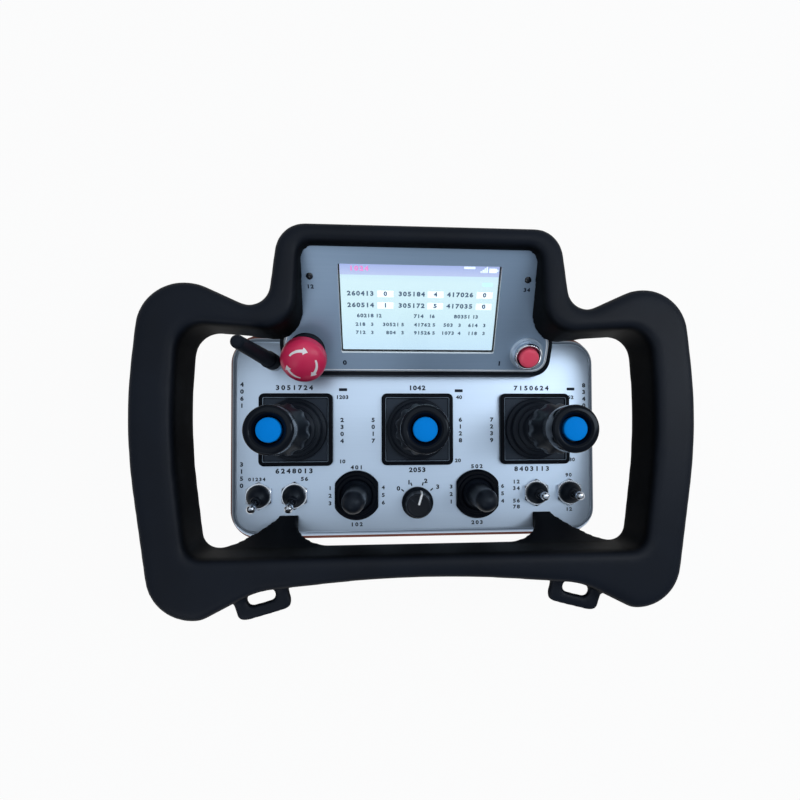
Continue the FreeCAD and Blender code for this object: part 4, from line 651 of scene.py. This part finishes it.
# joystick grips: scalloped skirt, waist, glossy flange with a dished top round the button
grip = dict(low=28.5, foot=9.5, skirt=15.2, skirtLow=41.0, skirtTop=48.0, waist=10.6, waistLow=57.0,
            waistTop=64.2, flange=12.8, flangeLow=69.2, top=83.2, well=7.25, wellFloor=75.0, flutes=12,
            fluteRadius=4.2, fluteBite=1.3)


def scalloped(angle, radius, height):
    # the skirt is cut back where a round cutter has passed
    if height > grip["waistLow"]:
        return radius
    pitch = 2 * math.pi / grip["flutes"]
    away = (angle + pitch / 2) % pitch - pitch / 2
    centre = grip["skirt"] + grip["fluteRadius"] - grip["fluteBite"]
    inside = grip["fluteRadius"] ** 2 - (centre * math.sin(away)) ** 2
    if inside <= 0:
        return radius
    return min(radius, centre * math.cos(away) - math.sqrt(inside))


gripProfile = roundedLine([
    (0, grip["low"]), (grip["foot"], grip["low"], 0.4), (13.8, grip["skirtLow"], 0.8),
    (grip["skirt"], grip["skirtLow"] + 1.4, 0.8), (grip["skirt"], 46.0),
    (grip["skirt"], grip["skirtTop"], 2.2), (14.0, 51.0), (12.2, 54.2),
    (grip["waist"], grip["waistLow"], 3.0), (grip["waist"], grip["waistTop"], 2.0),
    (12.3, grip["flangeLow"], 1.0), (grip["flange"], grip["flangeLow"] + 1.4, 0.8),
    (grip["flange"], grip["top"] - 0.2, 3.2), (9.4, grip["top"], 0.8), (8.4, 82.2, 0.5),
    (grip["well"], 80.2, 0.4), (grip["well"], grip["wellFloor"], 0.2), (0, grip["wellFloor"])])
button = dict(radius=6.4, low=77.2, top=82.0, crown=0.9)
buttonProfile = roundedLine([(0, button["low"]), (button["radius"], button["low"], 0.3),
                             (button["radius"], button["top"], 0.7),
                             (4.6, button["top"] + 0.5 * button["crown"], 3.0),
                             (2.2, button["top"] + 0.9 * button["crown"], 3.0),
                             (0, button["top"] + button["crown"])])
for side in sides:
    spot = at(*stickPlaces[side].xy)
    bm = turned(bmesh.new(), gripProfile, 144, shape=scalloped, place=spot,
                finishIndex=lambda strip: 1 if gripProfile[strip].y > grip["flangeLow"] else 0)
    addPiece("joystickGrip_" + side, bm, panelFrame, ("grip_black", "grip_gloss"), "joystick_%s_lever" % side,
             stands=("joystick_grip_" + side,))
    bm = turned(bmesh.new(), buttonProfile, 64, place=spot)
    addPiece("joystickButton_" + side, bm, panelFrame, ("button_blue",), "joystick_%s_button" % side,
             stands=("joystick_button_" + side,))
print("joysticks done")

# finger joysticks: round bases with two flats, and bullet-shaped sticks on a dome
thumb = dict(flange=16.2, flat=14.1, dome=11.5, shell=1.5, pivot=-2.0, clear=0.4, reach=42.0, tip=7.0,
             stem=2.6, tail=5.0)
thumbPlaces = {side: localPoint("thumb_%s_pitch" % side, panelFrame) for side in ("left", "right")}


def flatted(angle, radius, height):
    across = abs(math.cos(angle)) * radius
    return radius if across <= thumb["flat"] else radius * thumb["flat"] / across


socketRadius = thumb["dome"] + thumb["clear"]
baseProfile = roundedLine([
    (math.sqrt(socketRadius ** 2 - thumb["pivot"] ** 2), 0), (thumb["flange"], 0),
    (thumb["flange"], 2.6, 0.6), (14.9, 3.7, 0.5), (13.4, 3.7, 0.3), (12.7, 4.9, 0.45), (11.0, 4.9, 0.4),
    (math.sqrt(socketRadius ** 2 - (4.3 - thumb["pivot"]) ** 2), 4.3), (11.2, 2.4)], True)
stickProfile = [(0, thumb["pivot"] - thumb["tail"]), (thumb["stem"], thumb["pivot"] - thumb["tail"])]
stickProfile += arc(thumb["dome"] - thumb["shell"], 75, 10, -8, thumb["pivot"])  # hollow, clear of its ring
stickProfile += arc(thumb["dome"], 11, 46, 4, thumb["pivot"])
stickProfile += roundedLine([stickProfile[-1], (7.7, 7.2, 1.2), (7.3, 12.0, 4.0),
                             (thumb["tip"], thumb["reach"] - thumb["tip"])])[1:]
stickProfile += arc(thumb["tip"], 10, 91, 10, thumb["reach"] - thumb["tip"])
bm = bmesh.new()
for spot in thumbPlaces.values():
    turned(bm, baseProfile, 96, True, flatted, at(*spot.xy))
addPiece("thumbBases", bm, panelFrame, ("bezel_black",), "housing", stands=("thumb_bezels",))
for side, spot in thumbPlaces.items():
    bm = turned(bmesh.new(), stickProfile, 64, place=at(*spot.xy))
    addPiece("thumbStick_" + side, bm, panelFrame, ("rubber_black",), "thumb_%s_stick" % side,
             stands=("thumb_stick_" + side,))

# toggles: chamfered hexagon nuts, rubber domes that lean with the lever, bat levers
toggle = dict(flats=16.0, edge=0.02, nutHeight=3.0, nutBore=6.05, chamfer=8.2, dome=7.3, domeLow=3.0,
              domeAt=4.2, domeTall=6.2, wall=1.1, bendFrom=3.4, bendOver=6.0, bendTo=8.4, pivot=1.0,
              lean=15.0)
togglePlaces = {number: localPoint("toggle_%d_throw" % number, panelFrame) for number in (1, 2, 3, 4)}


def nutMesh(bm, x, y, turns=96):
    slope = math.tan(math.radians(30))
    rings = [[], [], [], [], []]
    for step in range(turns):
        angle = 2 * math.pi * step / turns
        away = (angle + math.pi / 6) % (math.pi / 3) - math.pi / 6
        far = toggle["flats"] / 2 / math.cos(away)
        drop = max(0.0, far - toggle["chamfer"]) * slope
        face = min(far, toggle["chamfer"])
        levels = ((toggle["nutBore"], 0), (far, 0), (far, toggle["nutHeight"] - drop - toggle["edge"]),
                  (face - toggle["edge"], toggle["nutHeight"]), (toggle["nutBore"], toggle["nutHeight"]))
        for ring, (radius, height) in zip(rings, levels):
            ring.append(Vector((x + radius * math.cos(angle), y + radius * math.sin(angle), height)))
    joinRings(bm, rings, True)


bm = bmesh.new()
for spot in togglePlaces.values():
    nutMesh(bm, *spot.xy)
addPiece("toggleNuts", bm, panelFrame, ("bright_metal",), "housing", stands=("toggle_nuts",), sharp=22)
domeProfile = [(toggle["dome"] - toggle["wall"], toggle["domeLow"]), (toggle["dome"], toggle["domeLow"]),
               (toggle["dome"], toggle["domeAt"])]
domeProfile += arc(toggle["dome"], 10, 61, 8, toggle["domeAt"], toggle["domeTall"])
domeProfile += roundedLine([
    domeProfile[-1], (3.1, 10.0, 0.8), (2.9, 11.8, 0.5), (1.75, 11.8, 0.2), (1.75, 9.6), (4.6, 7.6, 0.8),
    (toggle["dome"] - toggle["wall"], 4.4)])[1:]
batProfile = roundedLine([(0, -2.7), (1.9, -1.9, 0.6), (2.7, 0, 0.9), (1.7, 2.0, 0.6), (1.6, 11.0, 4.0),
                          (2.75, 20.6, 2.0), (2.65, 22.4, 0.9), (1.6, 23.5, 0.9), (0, 23.75)])
for number, spot in togglePlaces.items():
    lean = math.radians(toggle["lean"]) if number < 3 else 0.0
    bm = turned(bmesh.new(), domeProfile, 48, True)
    for vertex in bm.verts:
        turn = Matrix.Rotation(lean * eased((vertex.co.z - toggle["bendFrom"]) / toggle["bendOver"]), 3, "X")
        pivot = Vector((0, 0, toggle["pivot"]))
        vertex.co = turn @ (vertex.co - pivot) + pivot + spot.xy.to_3d()
    piece = addPiece("toggleBoot_%d" % number, bm, panelFrame, ("rubber_black",))
    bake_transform(piece)
    if number == 1:
        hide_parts("toggle_boots")
    place = at(*spot.xy, toggle["pivot"]) @ Matrix.Rotation(lean, 4, "X")
    bm = turned(bmesh.new(), batProfile, 40, place=place)
    addPiece("toggleBat_%d" % number, bm, panelFrame, ("bright_metal",), "toggle_%d" % number,
             stands=("toggle_lever_%d" % number,))
print("finger joysticks and toggles done")

# selector: fluted knob, white pointer over its top and down its side, four printed ticks
selector = dict(turn=16.4, skirt=10.4, foot=8.4, top=7.6, height=16.0, face=15.85, flutes=12, bite=0.32,
                fluteLow=5.2, fluteTop=14.6, pointerWidth=1.3, ticks=(50.7, 18.6, -16.4, -48.4),
                tickFrom=11.6, tickTo=13.8)
selectorSpot = localPoint("selector_turn", panelFrame)


def knobFlutes(angle, radius, height):
    if selector["fluteLow"] < height < selector["fluteTop"] and radius > selector["top"] - 0.6:
        return radius - selector["bite"] * wave(angle, selector["flutes"])
    return radius


knobProfile = roundedLine([
    (0, 0.5), (selector["skirt"] - 0.4, 0.5), (selector["skirt"], 0.9), (selector["skirt"], 2.7, 0.5),
    (9.0, 3.9, 0.5), (selector["foot"], 5.0, 0.4), (8.15, 7.5), (7.9, 11.0), (7.7, 14.2),
    (selector["top"], selector["height"], 0.8), (6.3, selector["height"], 0.2), (6.1, selector["face"], 0.2),
    (0, selector["face"])], steps=4)
knobPlace = at(*selectorSpot.xy) @ Matrix.Rotation(math.radians(-selector["turn"]), 4, "Z")
bm = turned(bmesh.new(), knobProfile, 144, shape=knobFlutes, place=knobPlace)
addPiece("selectorKnob", bm, panelFrame, ("knob_black",), "selector", stands=("selector_knob",))
path = roundedLine([(0.5, 16.02), (7.35, 16.02, 0.6), (7.85, 14.6), (8.5, 5.6)], steps=4)
bm = bmesh.new()
rings = []
for index, point in enumerate(path):
    ahead = path[min(index + 1, len(path) - 1)] - path[max(index - 1, 0)]
    outward = Vector((-ahead.y, ahead.x)).normalized()
    ring = []
    for offset, width in ((-0.35, -0.5), (0.1, -0.5), (0.1, 0.5), (-0.35, 0.5)):
        spot = point + outward * offset
        ring.append(knobPlace @ Vector((width * selector["pointerWidth"], spot.x, spot.y)))
    rings.append(ring)
joinCapped(bm, rings)
addPiece("selectorPointer", bm, panelFrame, ("pointer_white",), "selector", stands=("selector_pointer",))

# emergency stop: ribbed mushroom head with a crowned top and three turn arrows, black collar under it
estop = dict(radius=13.5, low=12.0, rim=4.6, crown=8.2, stem=5.25, stemTop=17.65, ribs=60, ribDepth=0.12,
             arrowAt=8.6, arrowWidth=1.7, arrowTail=0.55, headWidth=4.2, arrowSpan=58.0, headSpan=20.0,
             arrowTurn=82.0)
estopSpot = localPoint("estop_twist", plateFrame)


def estopRibs(angle, radius, height):
    if estop["low"] + 0.6 < height < estop["low"] + estop["rim"] and radius > estop["radius"] - 0.5:
        return radius - estop["ribDepth"] * wave(angle, estop["ribs"])
    return radius


def crownHeight(radius):
    share = min(radius / estop["radius"], 1.0)
    return estop["low"] + estop["rim"] + estop["crown"] * math.sqrt(1 - share * share)


headProfile = roundedLine([
    (0, estop["stemTop"]), (estop["stem"], estop["stemTop"]), (estop["stem"], 13.6), (9.5, 13.6, 0.4),
    (11.3, estop["low"], 0.4), (estop["radius"], estop["low"], 0.8), (estop["radius"], 14.0),
    (estop["radius"], 15.8), (estop["radius"], estop["low"] + estop["rim"])])
headProfile += arc(estop["radius"], 6, 90, 6, estop["low"] + estop["rim"], estop["crown"])
headProfile.append((0, estop["low"] + estop["rim"] + estop["crown"]))
bm = turned(bmesh.new(), headProfile, 240, shape=estopRibs, place=at(*estopSpot.xy))
addPiece("estopHead", bm, plateFrame, ("estop_red",), "estop_mushroom", stands=("estop_head",))


def turnArrow(bm, start):
    # a band bent round the crown, widening to a head and running to a point
    rings = []
    steps = 26
    tipFrom = 1 - estop["headSpan"] / (estop["arrowSpan"] + estop["headSpan"])
    for step in range(steps + 1):
        share = step / steps
        angle = math.radians(start - share * (estop["arrowSpan"] + estop["headSpan"]))
        if share < tipFrom:
            width = estop["arrowWidth"] * (estop["arrowTail"] + (1 - estop["arrowTail"]) * share / tipFrom)
        else:
            width = estop["headWidth"] * (1 - (share - tipFrom) / (1 - tipFrom)) + 0.05
        ring = []
        for across, lift in ((-0.5, -0.1), (0, -0.1), (0.5, -0.1), (0.5, 0.06), (0, 0.06), (-0.5, 0.06)):
            radius = estop["arrowAt"] + across * width
            ring.append(at(*estopSpot.xy) @ Vector((radius * math.cos(angle), radius * math.sin(angle),
                                                   crownHeight(radius) + lift)))
        rings.append(ring)
    joinCapped(bm, rings)


bm = bmesh.new()
for number in range(3):
    turnArrow(bm, estop["arrowTurn"] + 120 * number + estop["arrowSpan"])
addPiece("estopArrows", bm, plateFrame, ("arrow_white",), "estop_mushroom")
collarProfile = roundedLine([(7.95, 0), (11.2, 0), (11.2, 0.9, 0.3), (10.8, 1.2, 0.2), (10.8, 4.4, 0.6),
                             (10.0, 7.0, 0.6), (7.95, 7.0)], True)
bm = turned(bmesh.new(), collarProfile, 72, True, place=at(*estopSpot.xy))
addPiece("estopCollar", bm, plateFrame, ("housing_black",), "housing", stands=("estop_collar",))

# start button: bright ring in a flat flange, its inner wall painted black as the shade in the gap, red crowned cap
start = dict(up=13.4, cap=6.3, capLow=-2.0, capTop=9.4, crown=0.7, ring=9.0, ringTop=7.2, shadedWall=7.35,
             bore=6.6, flange=10.8, flangeTop=0.7)
startSpot = Vector((-estopSpot.x, start["up"]))
ringProfile = roundedLine([
    (start["bore"], 0), (start["flange"], 0), (start["flange"], start["flangeTop"], 0.3),
    (9.6, start["flangeTop"], 0.1), (9.3, 0.5), (start["ring"], 0.5), (start["ring"], 6.0, 1.2),
    (8.2, start["ringTop"], 0.8), (start["shadedWall"], 6.9, 0.2), (6.9, 5.6, 0.2), (start["bore"], 5.0)], True)


# inner strips take the black finish: painted shade in the gap round the cap
def ringFinish(strip):
    reach = max(ringProfile[strip].x, ringProfile[(strip + 1) % len(ringProfile)].x)
    return 1 if reach > start["ring"] + 0.05 else 2 if reach < start["shadedWall"] + 0.05 else 0


bm = turned(bmesh.new(), ringProfile, 96, True, place=at(*startSpot), finishIndex=ringFinish)
addPiece("startRing", bm, plateFrame, ("ring_chrome", "ring_seat", "housing_black"), "housing",
         stands=("start_bezel",))
capProfile = roundedLine([(0, start["capLow"]), (start["cap"], start["capLow"]),
                          (start["cap"], start["capTop"] - 0.5, 1.4),
                          (4.2, start["capTop"] + 0.25, 3.0), (0, start["capTop"] + start["crown"])])
bm = turned(bmesh.new(), capProfile, 64, place=at(*startSpot))
addPiece("startCap", bm, plateFrame, ("start_red",), "start_button", stands=("start_cap",))

# indicator lenses: small domes standing out of the plate
lens = dict(x=64.5, up=60.8, radius=2.0, back=-4.4, edge=0.15, stand=0.85)
lensProfile = [(0, lens["back"]), (lens["radius"], lens["back"]), (lens["radius"], lens["edge"])]
lensProfile += arc(lens["radius"], 15, 90, 15, lens["edge"], lens["stand"] - lens["edge"])
lensProfile.append((0, lens["stand"]))
bm = bmesh.new()
for sign in (-1, 1):
    turned(bm, lensProfile, 40, place=at(sign * lens["x"], lens["up"]))
addPiece("indicatorLenses", bm, plateFrame, ("lens_dark",), "housing", stands=("indicator_lenses",))

# stub antenna: sleeve at its foot, long taper, round end
antennaLow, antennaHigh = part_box("antenna_whip")
antennaSpot = panelFrame.inverted() @ ((antennaLow + antennaHigh) / 2)
antenna = dict(foot=5.4, waist=4.8, tip=3.5, low=6.0, top=88.0)
whipProfile = roundedLine([
    (0, antenna["low"]), (antenna["foot"], antenna["low"], 0.6), (antenna["foot"], 18.6, 0.8),
    (antenna["waist"], 20.4, 0.6), (antenna["tip"], antenna["top"] - 2.4, 2.0),
    (2.4, antenna["top"] - 0.4, 1.2), (0, antenna["top"])])
bm = turned(bmesh.new(), whipProfile, 48, place=at(*antennaSpot.xy))
addPiece("antennaWhip", bm, panelFrame, ("whip_black",), "housing", stands=("antenna_whip",))
print("buttons, lenses and antenna done")

# lit screen behind the glass: picture, header, value boxes and figures as thin layers
screen = dict(width=96.5, height=55.2, low=13.1, front=-4.5, back=-7.1, marginX=4.4, marginTop=2.3,
              marginLow=6.9, layer=0.05, sunk=0.02, header=0.115, border=0.8)
pictureStops = ((0.0, (0.62, 0.84, 1.0)), (0.45, (0.70, 0.93, 1.0)), (0.8, (0.72, 0.94, 1.0)),
                (1.0, (0.58, 0.80, 1.0)))
headerStops = ((0.0, (0.54, 0.62, 0.92)), (1.0, (0.38, 0.47, 0.84)))
screenTop = screen["low"] + screen["height"]
finishOf["screenPicture"] = makeScreenGlow("screenPicture", pictureStops, screen["low"], screenTop)
finishOf["screenHeader"] = makeScreenGlow("screenHeader", headerStops,
                                          screenTop - screen["header"] * screen["height"], screenTop)


def screenPoint(across, down):
    return Vector(((across - 0.5) * screen["width"], screenTop - down * screen["height"]))


def screenSlab(bm, across, down, wide, tall, level, corner=0.3):
    outline = roundedBox(wide / 2, tall / 2, corner, 3)
    slab(bm, outline, screen["front"] - screen["sunk"], screen["front"] + level * screen["layer"],
         at(*screenPoint(across, down)))


bm = bmesh.new()
moduleTall = screen["height"] + screen["marginTop"] + screen["marginLow"]
moduleMiddle = screen["low"] + screen["height"] / 2 + (screen["marginTop"] - screen["marginLow"]) / 2
slab(bm, roundedBox(screen["width"] / 2 + screen["marginX"], moduleTall / 2, 1.0, 4), screen["back"],
     screen["front"], at(0, moduleMiddle), 0.3)
addPiece("screenModule", bm, plateFrame, ("screen",), "housing", stands=("lcd_module",))
innerWidth, innerHeight = (screen[key] - 2 * screen["border"] for key in ("width", "height"))
bm = bmesh.new()
screenSlab(bm, 0.5, 0.5, innerWidth, innerHeight, 1, 0.6)
addPiece("screenPicture", bm, plateFrame, ("screenPicture",), "housing")
bm = bmesh.new()
screenSlab(bm, 0.5, screen["header"] / 2 + screen["border"] / screen["height"], innerWidth,
           screen["header"] * screen["height"], 2, 0.4)
addPiece("screenHeader", bm, plateFrame, ("screenHeader",), "housing")

valueColumns = (0.285, 0.600, 0.912)
valueRows = (0.335, 0.465)
labelColumns = (0.130, 0.450, 0.756)
bm = bmesh.new()
for row in valueRows:
    for column in valueColumns:
        screenSlab(bm, column, row, 9.8, 4.0, 2, 0.4)
for step in range(4):
    screenSlab(bm, 0.878 + 0.012 * step, 0.078 - 0.008 * step, 0.75, 0.9 + 0.9 * step, 3, 0.1)
screenSlab(bm, 0.952, 0.062, 4.6, 2.6, 3, 0.3)
screenSlab(bm, 0.981, 0.062, 0.6, 1.2, 3, 0.1)
screenSlab(bm, 0.805, 0.035, 6.8, 1.3, 3, 0.3)
addPiece("screenBoxes", bm, plateFrame, ("screen_white",), "housing")
bm = bmesh.new()
screenSlab(bm, 0.925, 0.215, 6.2, 1.8, 2, 0.5)
addPiece("screenPatch", bm, plateFrame, ("screen_cyan",), "housing")


def screenDigits(bm, text, across, down, size, pitch, level):
    writeDigits(bm, text, *screenPoint(across, down), size, pitch, low=screen["front"],
                thick=level * screen["layer"])


bm = bmesh.new()
labels = (("260413", "305184", "417026"), ("260514", "305172", "417035"))
values = (("0", "4", "0"), ("1", "5", "0"))
for row, names, figures in zip(valueRows, labels, values):
    for column, name in zip(labelColumns, names):
        screenDigits(bm, name, column, row, 3.3, 2.75, 3)
    for column, figure in zip(valueColumns, figures):
        screenDigits(bm, figure, column, row, 3.2, 2.4, 4)
for column, name, figure in ((0.157, "60218", "12"), (0.497, "714", "16"), (0.778, "80351", "13")):
    screenDigits(bm, name, column, 0.585, 2.7, 2.1, 3)
    screenDigits(bm, figure, column + 0.085, 0.585, 2.6, 1.8, 3)
smallColumns = (0.125, 0.320, 0.522, 0.690, 0.852)
smallRows = ((0.686, ("218", "30521", "41762", "503", "614")),
             (0.782, ("712", "804", "91526", "1073", "118")))
for row, names in smallRows:
    for column, name in zip(smallColumns, names):
        screenDigits(bm, name, column, row, 2.6, 2.1, 3)
        screenDigits(bm, "%d" % (len(name) % 7), column + 0.075, row, 2.5, 2.0, 3)
addPiece("screenFigures", bm, plateFrame, ("screen_ink",), "housing", sharp=60)
bm = bmesh.new()
screenDigits(bm, "1024", 0.125, 0.064, 3.3, 3.0, 4)
addPiece("screenTitle", bm, plateFrame, ("screen_pink",), "housing", sharp=60)
print("screen done")

# printed figures and marks on the panel and the plate
# each row: size, pitch, whether the figures run down, then the figures with their places
legend = dict(
    titles=(3.7, 3.6, False, (("3051724", -80.6, 27.4), ("6248013", -80.6, -27.2), ("7150624", 77.6, 27.4),
                              ("8403113", 77.6, -27.2))),
    middle=(3.7, 2.9, False, (("1042", 0, 27.4), ("2053", 0, -27.2))),
    columns=(3.3, 4.6, True, (("4061", -114.2, 22.5), ("2304", -49.6, -0.8), ("5017", -29.2, -0.8),
                              ("6128", 29.0, -0.8), ("7239", 50.2, -0.8), ("3150", -114.2, -29.5),
                              ("8340", 114.2, 22.5))),
    corners=(2.9, 2.1, False, (("1203", -49.5, 21.2), ("40", 28.2, 21.2), ("52", 105.0, 21.2),
                               ("10", -49.5, -21.2), ("20", 27.2, -21.2), ("30", 105.5, -21.2))),
    aboveThumbs=(3.1, 2.9, False, (("401", -40, -25.2), ("502", 40, -25.2))),
    besideThumbs=(3.0, 5.0, True, (("123", -57.4, -43.6), ("456", -22.6, -43.6), ("321", 22.6, -43.6),
                                   ("654", 57.4, -43.6))),
    belowThumbs=(3.0, 2.9, False, (("102", -40, -62.6), ("203", 40, -62.6))),
    firstToggle=(2.6, 2.3, False, (("01234", -104.5, -32.4),)),
    secondToggle=(3.0, 2.6, False, (("56", -74.0, -32.4),)),
    thirdToggle=(3.0, 2.7, False, (("12", 66.8, -35.8), ("34", 66.8, -40.2), ("56", 66.8, -48.6),
                                   ("78", 66.8, -52.6))),
    fourthToggle=(2.8, 2.4, False, (("90", 103.0, -31.6), ("12", 103.0, -54.8))),
    dial=(3.4, 2.7, False, (("0", -12.6, -39.4), ("1", -5.6, -35.4), ("2", 5.6, -34.6), ("3", 13.6, -38.6))))
marks = dict(low=-0.02, high=0.06, places=((-49.0, 26.3), (28.0, 25.7), (105.0, 27.0)))
bm = bmesh.new()
for size, pitch, down, figures in legend.values():
    for figure, x, y in figures:
        writeDigits(bm, figure, x, y, size, pitch, down)
for degrees in selector["ticks"]:
    turn = at(*selectorSpot.xy) @ Matrix.Rotation(math.radians(degrees), 4, "Z")
    middle = (selector["tickFrom"] + selector["tickTo"]) / 2
    slab(bm, roundedBox(0.42, (selector["tickTo"] - selector["tickFrom"]) / 2, 0.15, 2), marks["low"],
         marks["high"], turn @ at(0, middle))
for place in marks["places"]:
    slab(bm, roundedBox(2.7, 0.95, 0.3, 3), marks["low"], marks["high"], at(*place))
addPiece("panelPrint", bm, panelFrame, ("print_ink",), "housing", sharp=60)
bm = bmesh.new()
writeDigits(bm, "12", -lens["x"], lens["up"] - 6.2, 2.8, 2.2)
writeDigits(bm, "34", lens["x"], lens["up"] - 6.2, 2.8, 2.2)
writeDigits(bm, "0", -46.5, 6.2, 3.6)
writeDigits(bm, "1", 52.5, 6.2, 3.6)
addPiece("platePrint", bm, plateFrame, ("print_ink",), "housing", sharp=60)
print("print done")

# floor: pale, white to the camera and in reflections, still shaded by the object
floor = dict(half=3.0, colour=(0.62, 0.63, 0.64), rough=0.8, white=0.94)
bm = bmesh.new()
bmesh.ops.create_grid(bm, x_segments=4, y_segments=4, size=floor["half"])
mesh = bpy.data.meshes.new("floor")
bm.to_mesh(mesh)
bm.free()
addObject("floor", mesh)
material, tree, shader = newMaterial("floorPaper")
feed(tree, shader, {"Base Color": (*floor["colour"], 1), "Roughness": floor["rough"]})
rays = addNode(tree, "LightPath").outputs
either = addNode(tree, "Math", {0: rays["Is Glossy Ray"], 1: rays["Is Transmission Ray"]},
                 operation="MAXIMUM")
seen = addNode(tree, "Math", {0: rays["Is Camera Ray"], 1: either.outputs["Value"]}, operation="MAXIMUM")
share = addNode(tree, "Math", {0: seen.outputs["Value"], 1: floor["white"]}, operation="MULTIPLY")
blend = addNode(tree, "MixShader", {"Fac": share.outputs["Value"], 1: shader.outputs["BSDF"],
                                    2: addNode(tree, "Emission").outputs["Emission"]})
feed(tree, tree.nodes["Material Output"], {"Surface": blend.outputs["Shader"]})
mesh.materials.append(material)

# world: soft sky, brighter behind the display than on the operator's side
world = bpy.data.worlds.new("studio")
scene.world = world
world.use_nodes = True
tree = world.node_tree
sky = dict(front=(0.45, 0.50, 0.57, 1), back=(0.86, 0.93, 1.0, 1), span=(-0.7, 0.6), strength=0.6)
direction = addNode(tree, "SeparateXYZ", {"Vector": addNode(tree, "TexCoord").outputs["Generated"]})
ramp = addNode(tree, "ValToRGB", {"Fac": remap(tree, direction.outputs["Y"], *sky["span"])})
ramp.color_ramp.elements[0].color = sky["front"]
ramp.color_ramp.elements[1].color = sky["back"]
feed(tree, tree.nodes["Background"], {"Color": ramp.outputs["Color"], "Strength": sky["strength"]})

lamps = dict(
    ceiling=dict(place=(0.03, 0.31, 1.35), aim=(0.03, 0.30, 0.06), size=(1.05, 0.86), power=3.1,
                 tint=(0.93, 0.97, 1.0)),
    window=dict(place=(0.75, 0.15, 0.95), aim=(0, 0, 0.08), size=(0.28, 0.75), power=4.0,
                tint=(0.9, 0.95, 1.0)),
    fill=dict(place=(-0.45, -0.78, 0.82), aim=(0, 0, 0.08), size=(0.5, 0.5), power=1.5,
              tint=(0.95, 0.97, 1.0)),
    corner=dict(place=(-0.42, -0.31, 1.35), aim=(-0.42, -0.31, 0), size=(0.45, 0.35), power=0.28,
                tint=(0.93, 0.97, 1.0)))
for name, lamp in lamps.items():
    light = bpy.data.lights.new(name, "AREA")
    light.shape = "RECTANGLE"
    light.size, light.size_y = lamp["size"]
    light.energy = lamp["power"]
    light.color = lamp["tint"]
    holder = addObject(name, light)
    aim = Vector(lamp["aim"]) - Vector(lamp["place"])
    turn = aim.to_track_quat("-Z", "Y").to_matrix().to_4x4()
    holder.matrix_world = Matrix.Translation(lamp["place"]) @ turn

# camera: straight above the panel, a little to the left, as the picture was taken
shot = dict(place=(-0.0182, -0.00323, 0.413), turn=(-0.025, 0.078, 0.002), image=800, focal=529.5,
            middle=(431.2, 415.0), sensor=36.0)
lensData = bpy.data.cameras.new("shot")
lensData.sensor_width = shot["sensor"]
lensData.lens = shot["focal"] / shot["image"] * shot["sensor"]
lensData.shift_x = (shot["image"] / 2 - shot["middle"][0]) / shot["image"]
lensData.shift_y = (shot["middle"][1] - shot["image"] / 2) / shot["image"]
lensData.clip_start = 0.01
camera = addObject("shot", lensData)
turnX, turnY, turnZ = (Matrix.Rotation(angle, 3, axis) for angle, axis in zip(shot["turn"], "XYZ"))
camera.matrix_world = Matrix.Translation(shot["place"]) @ (turnZ @ turnY @ turnX).transposed().to_4x4()
scene.camera = camera
scene.view_settings.view_transform = "Standard"
print("stage, light and camera set")
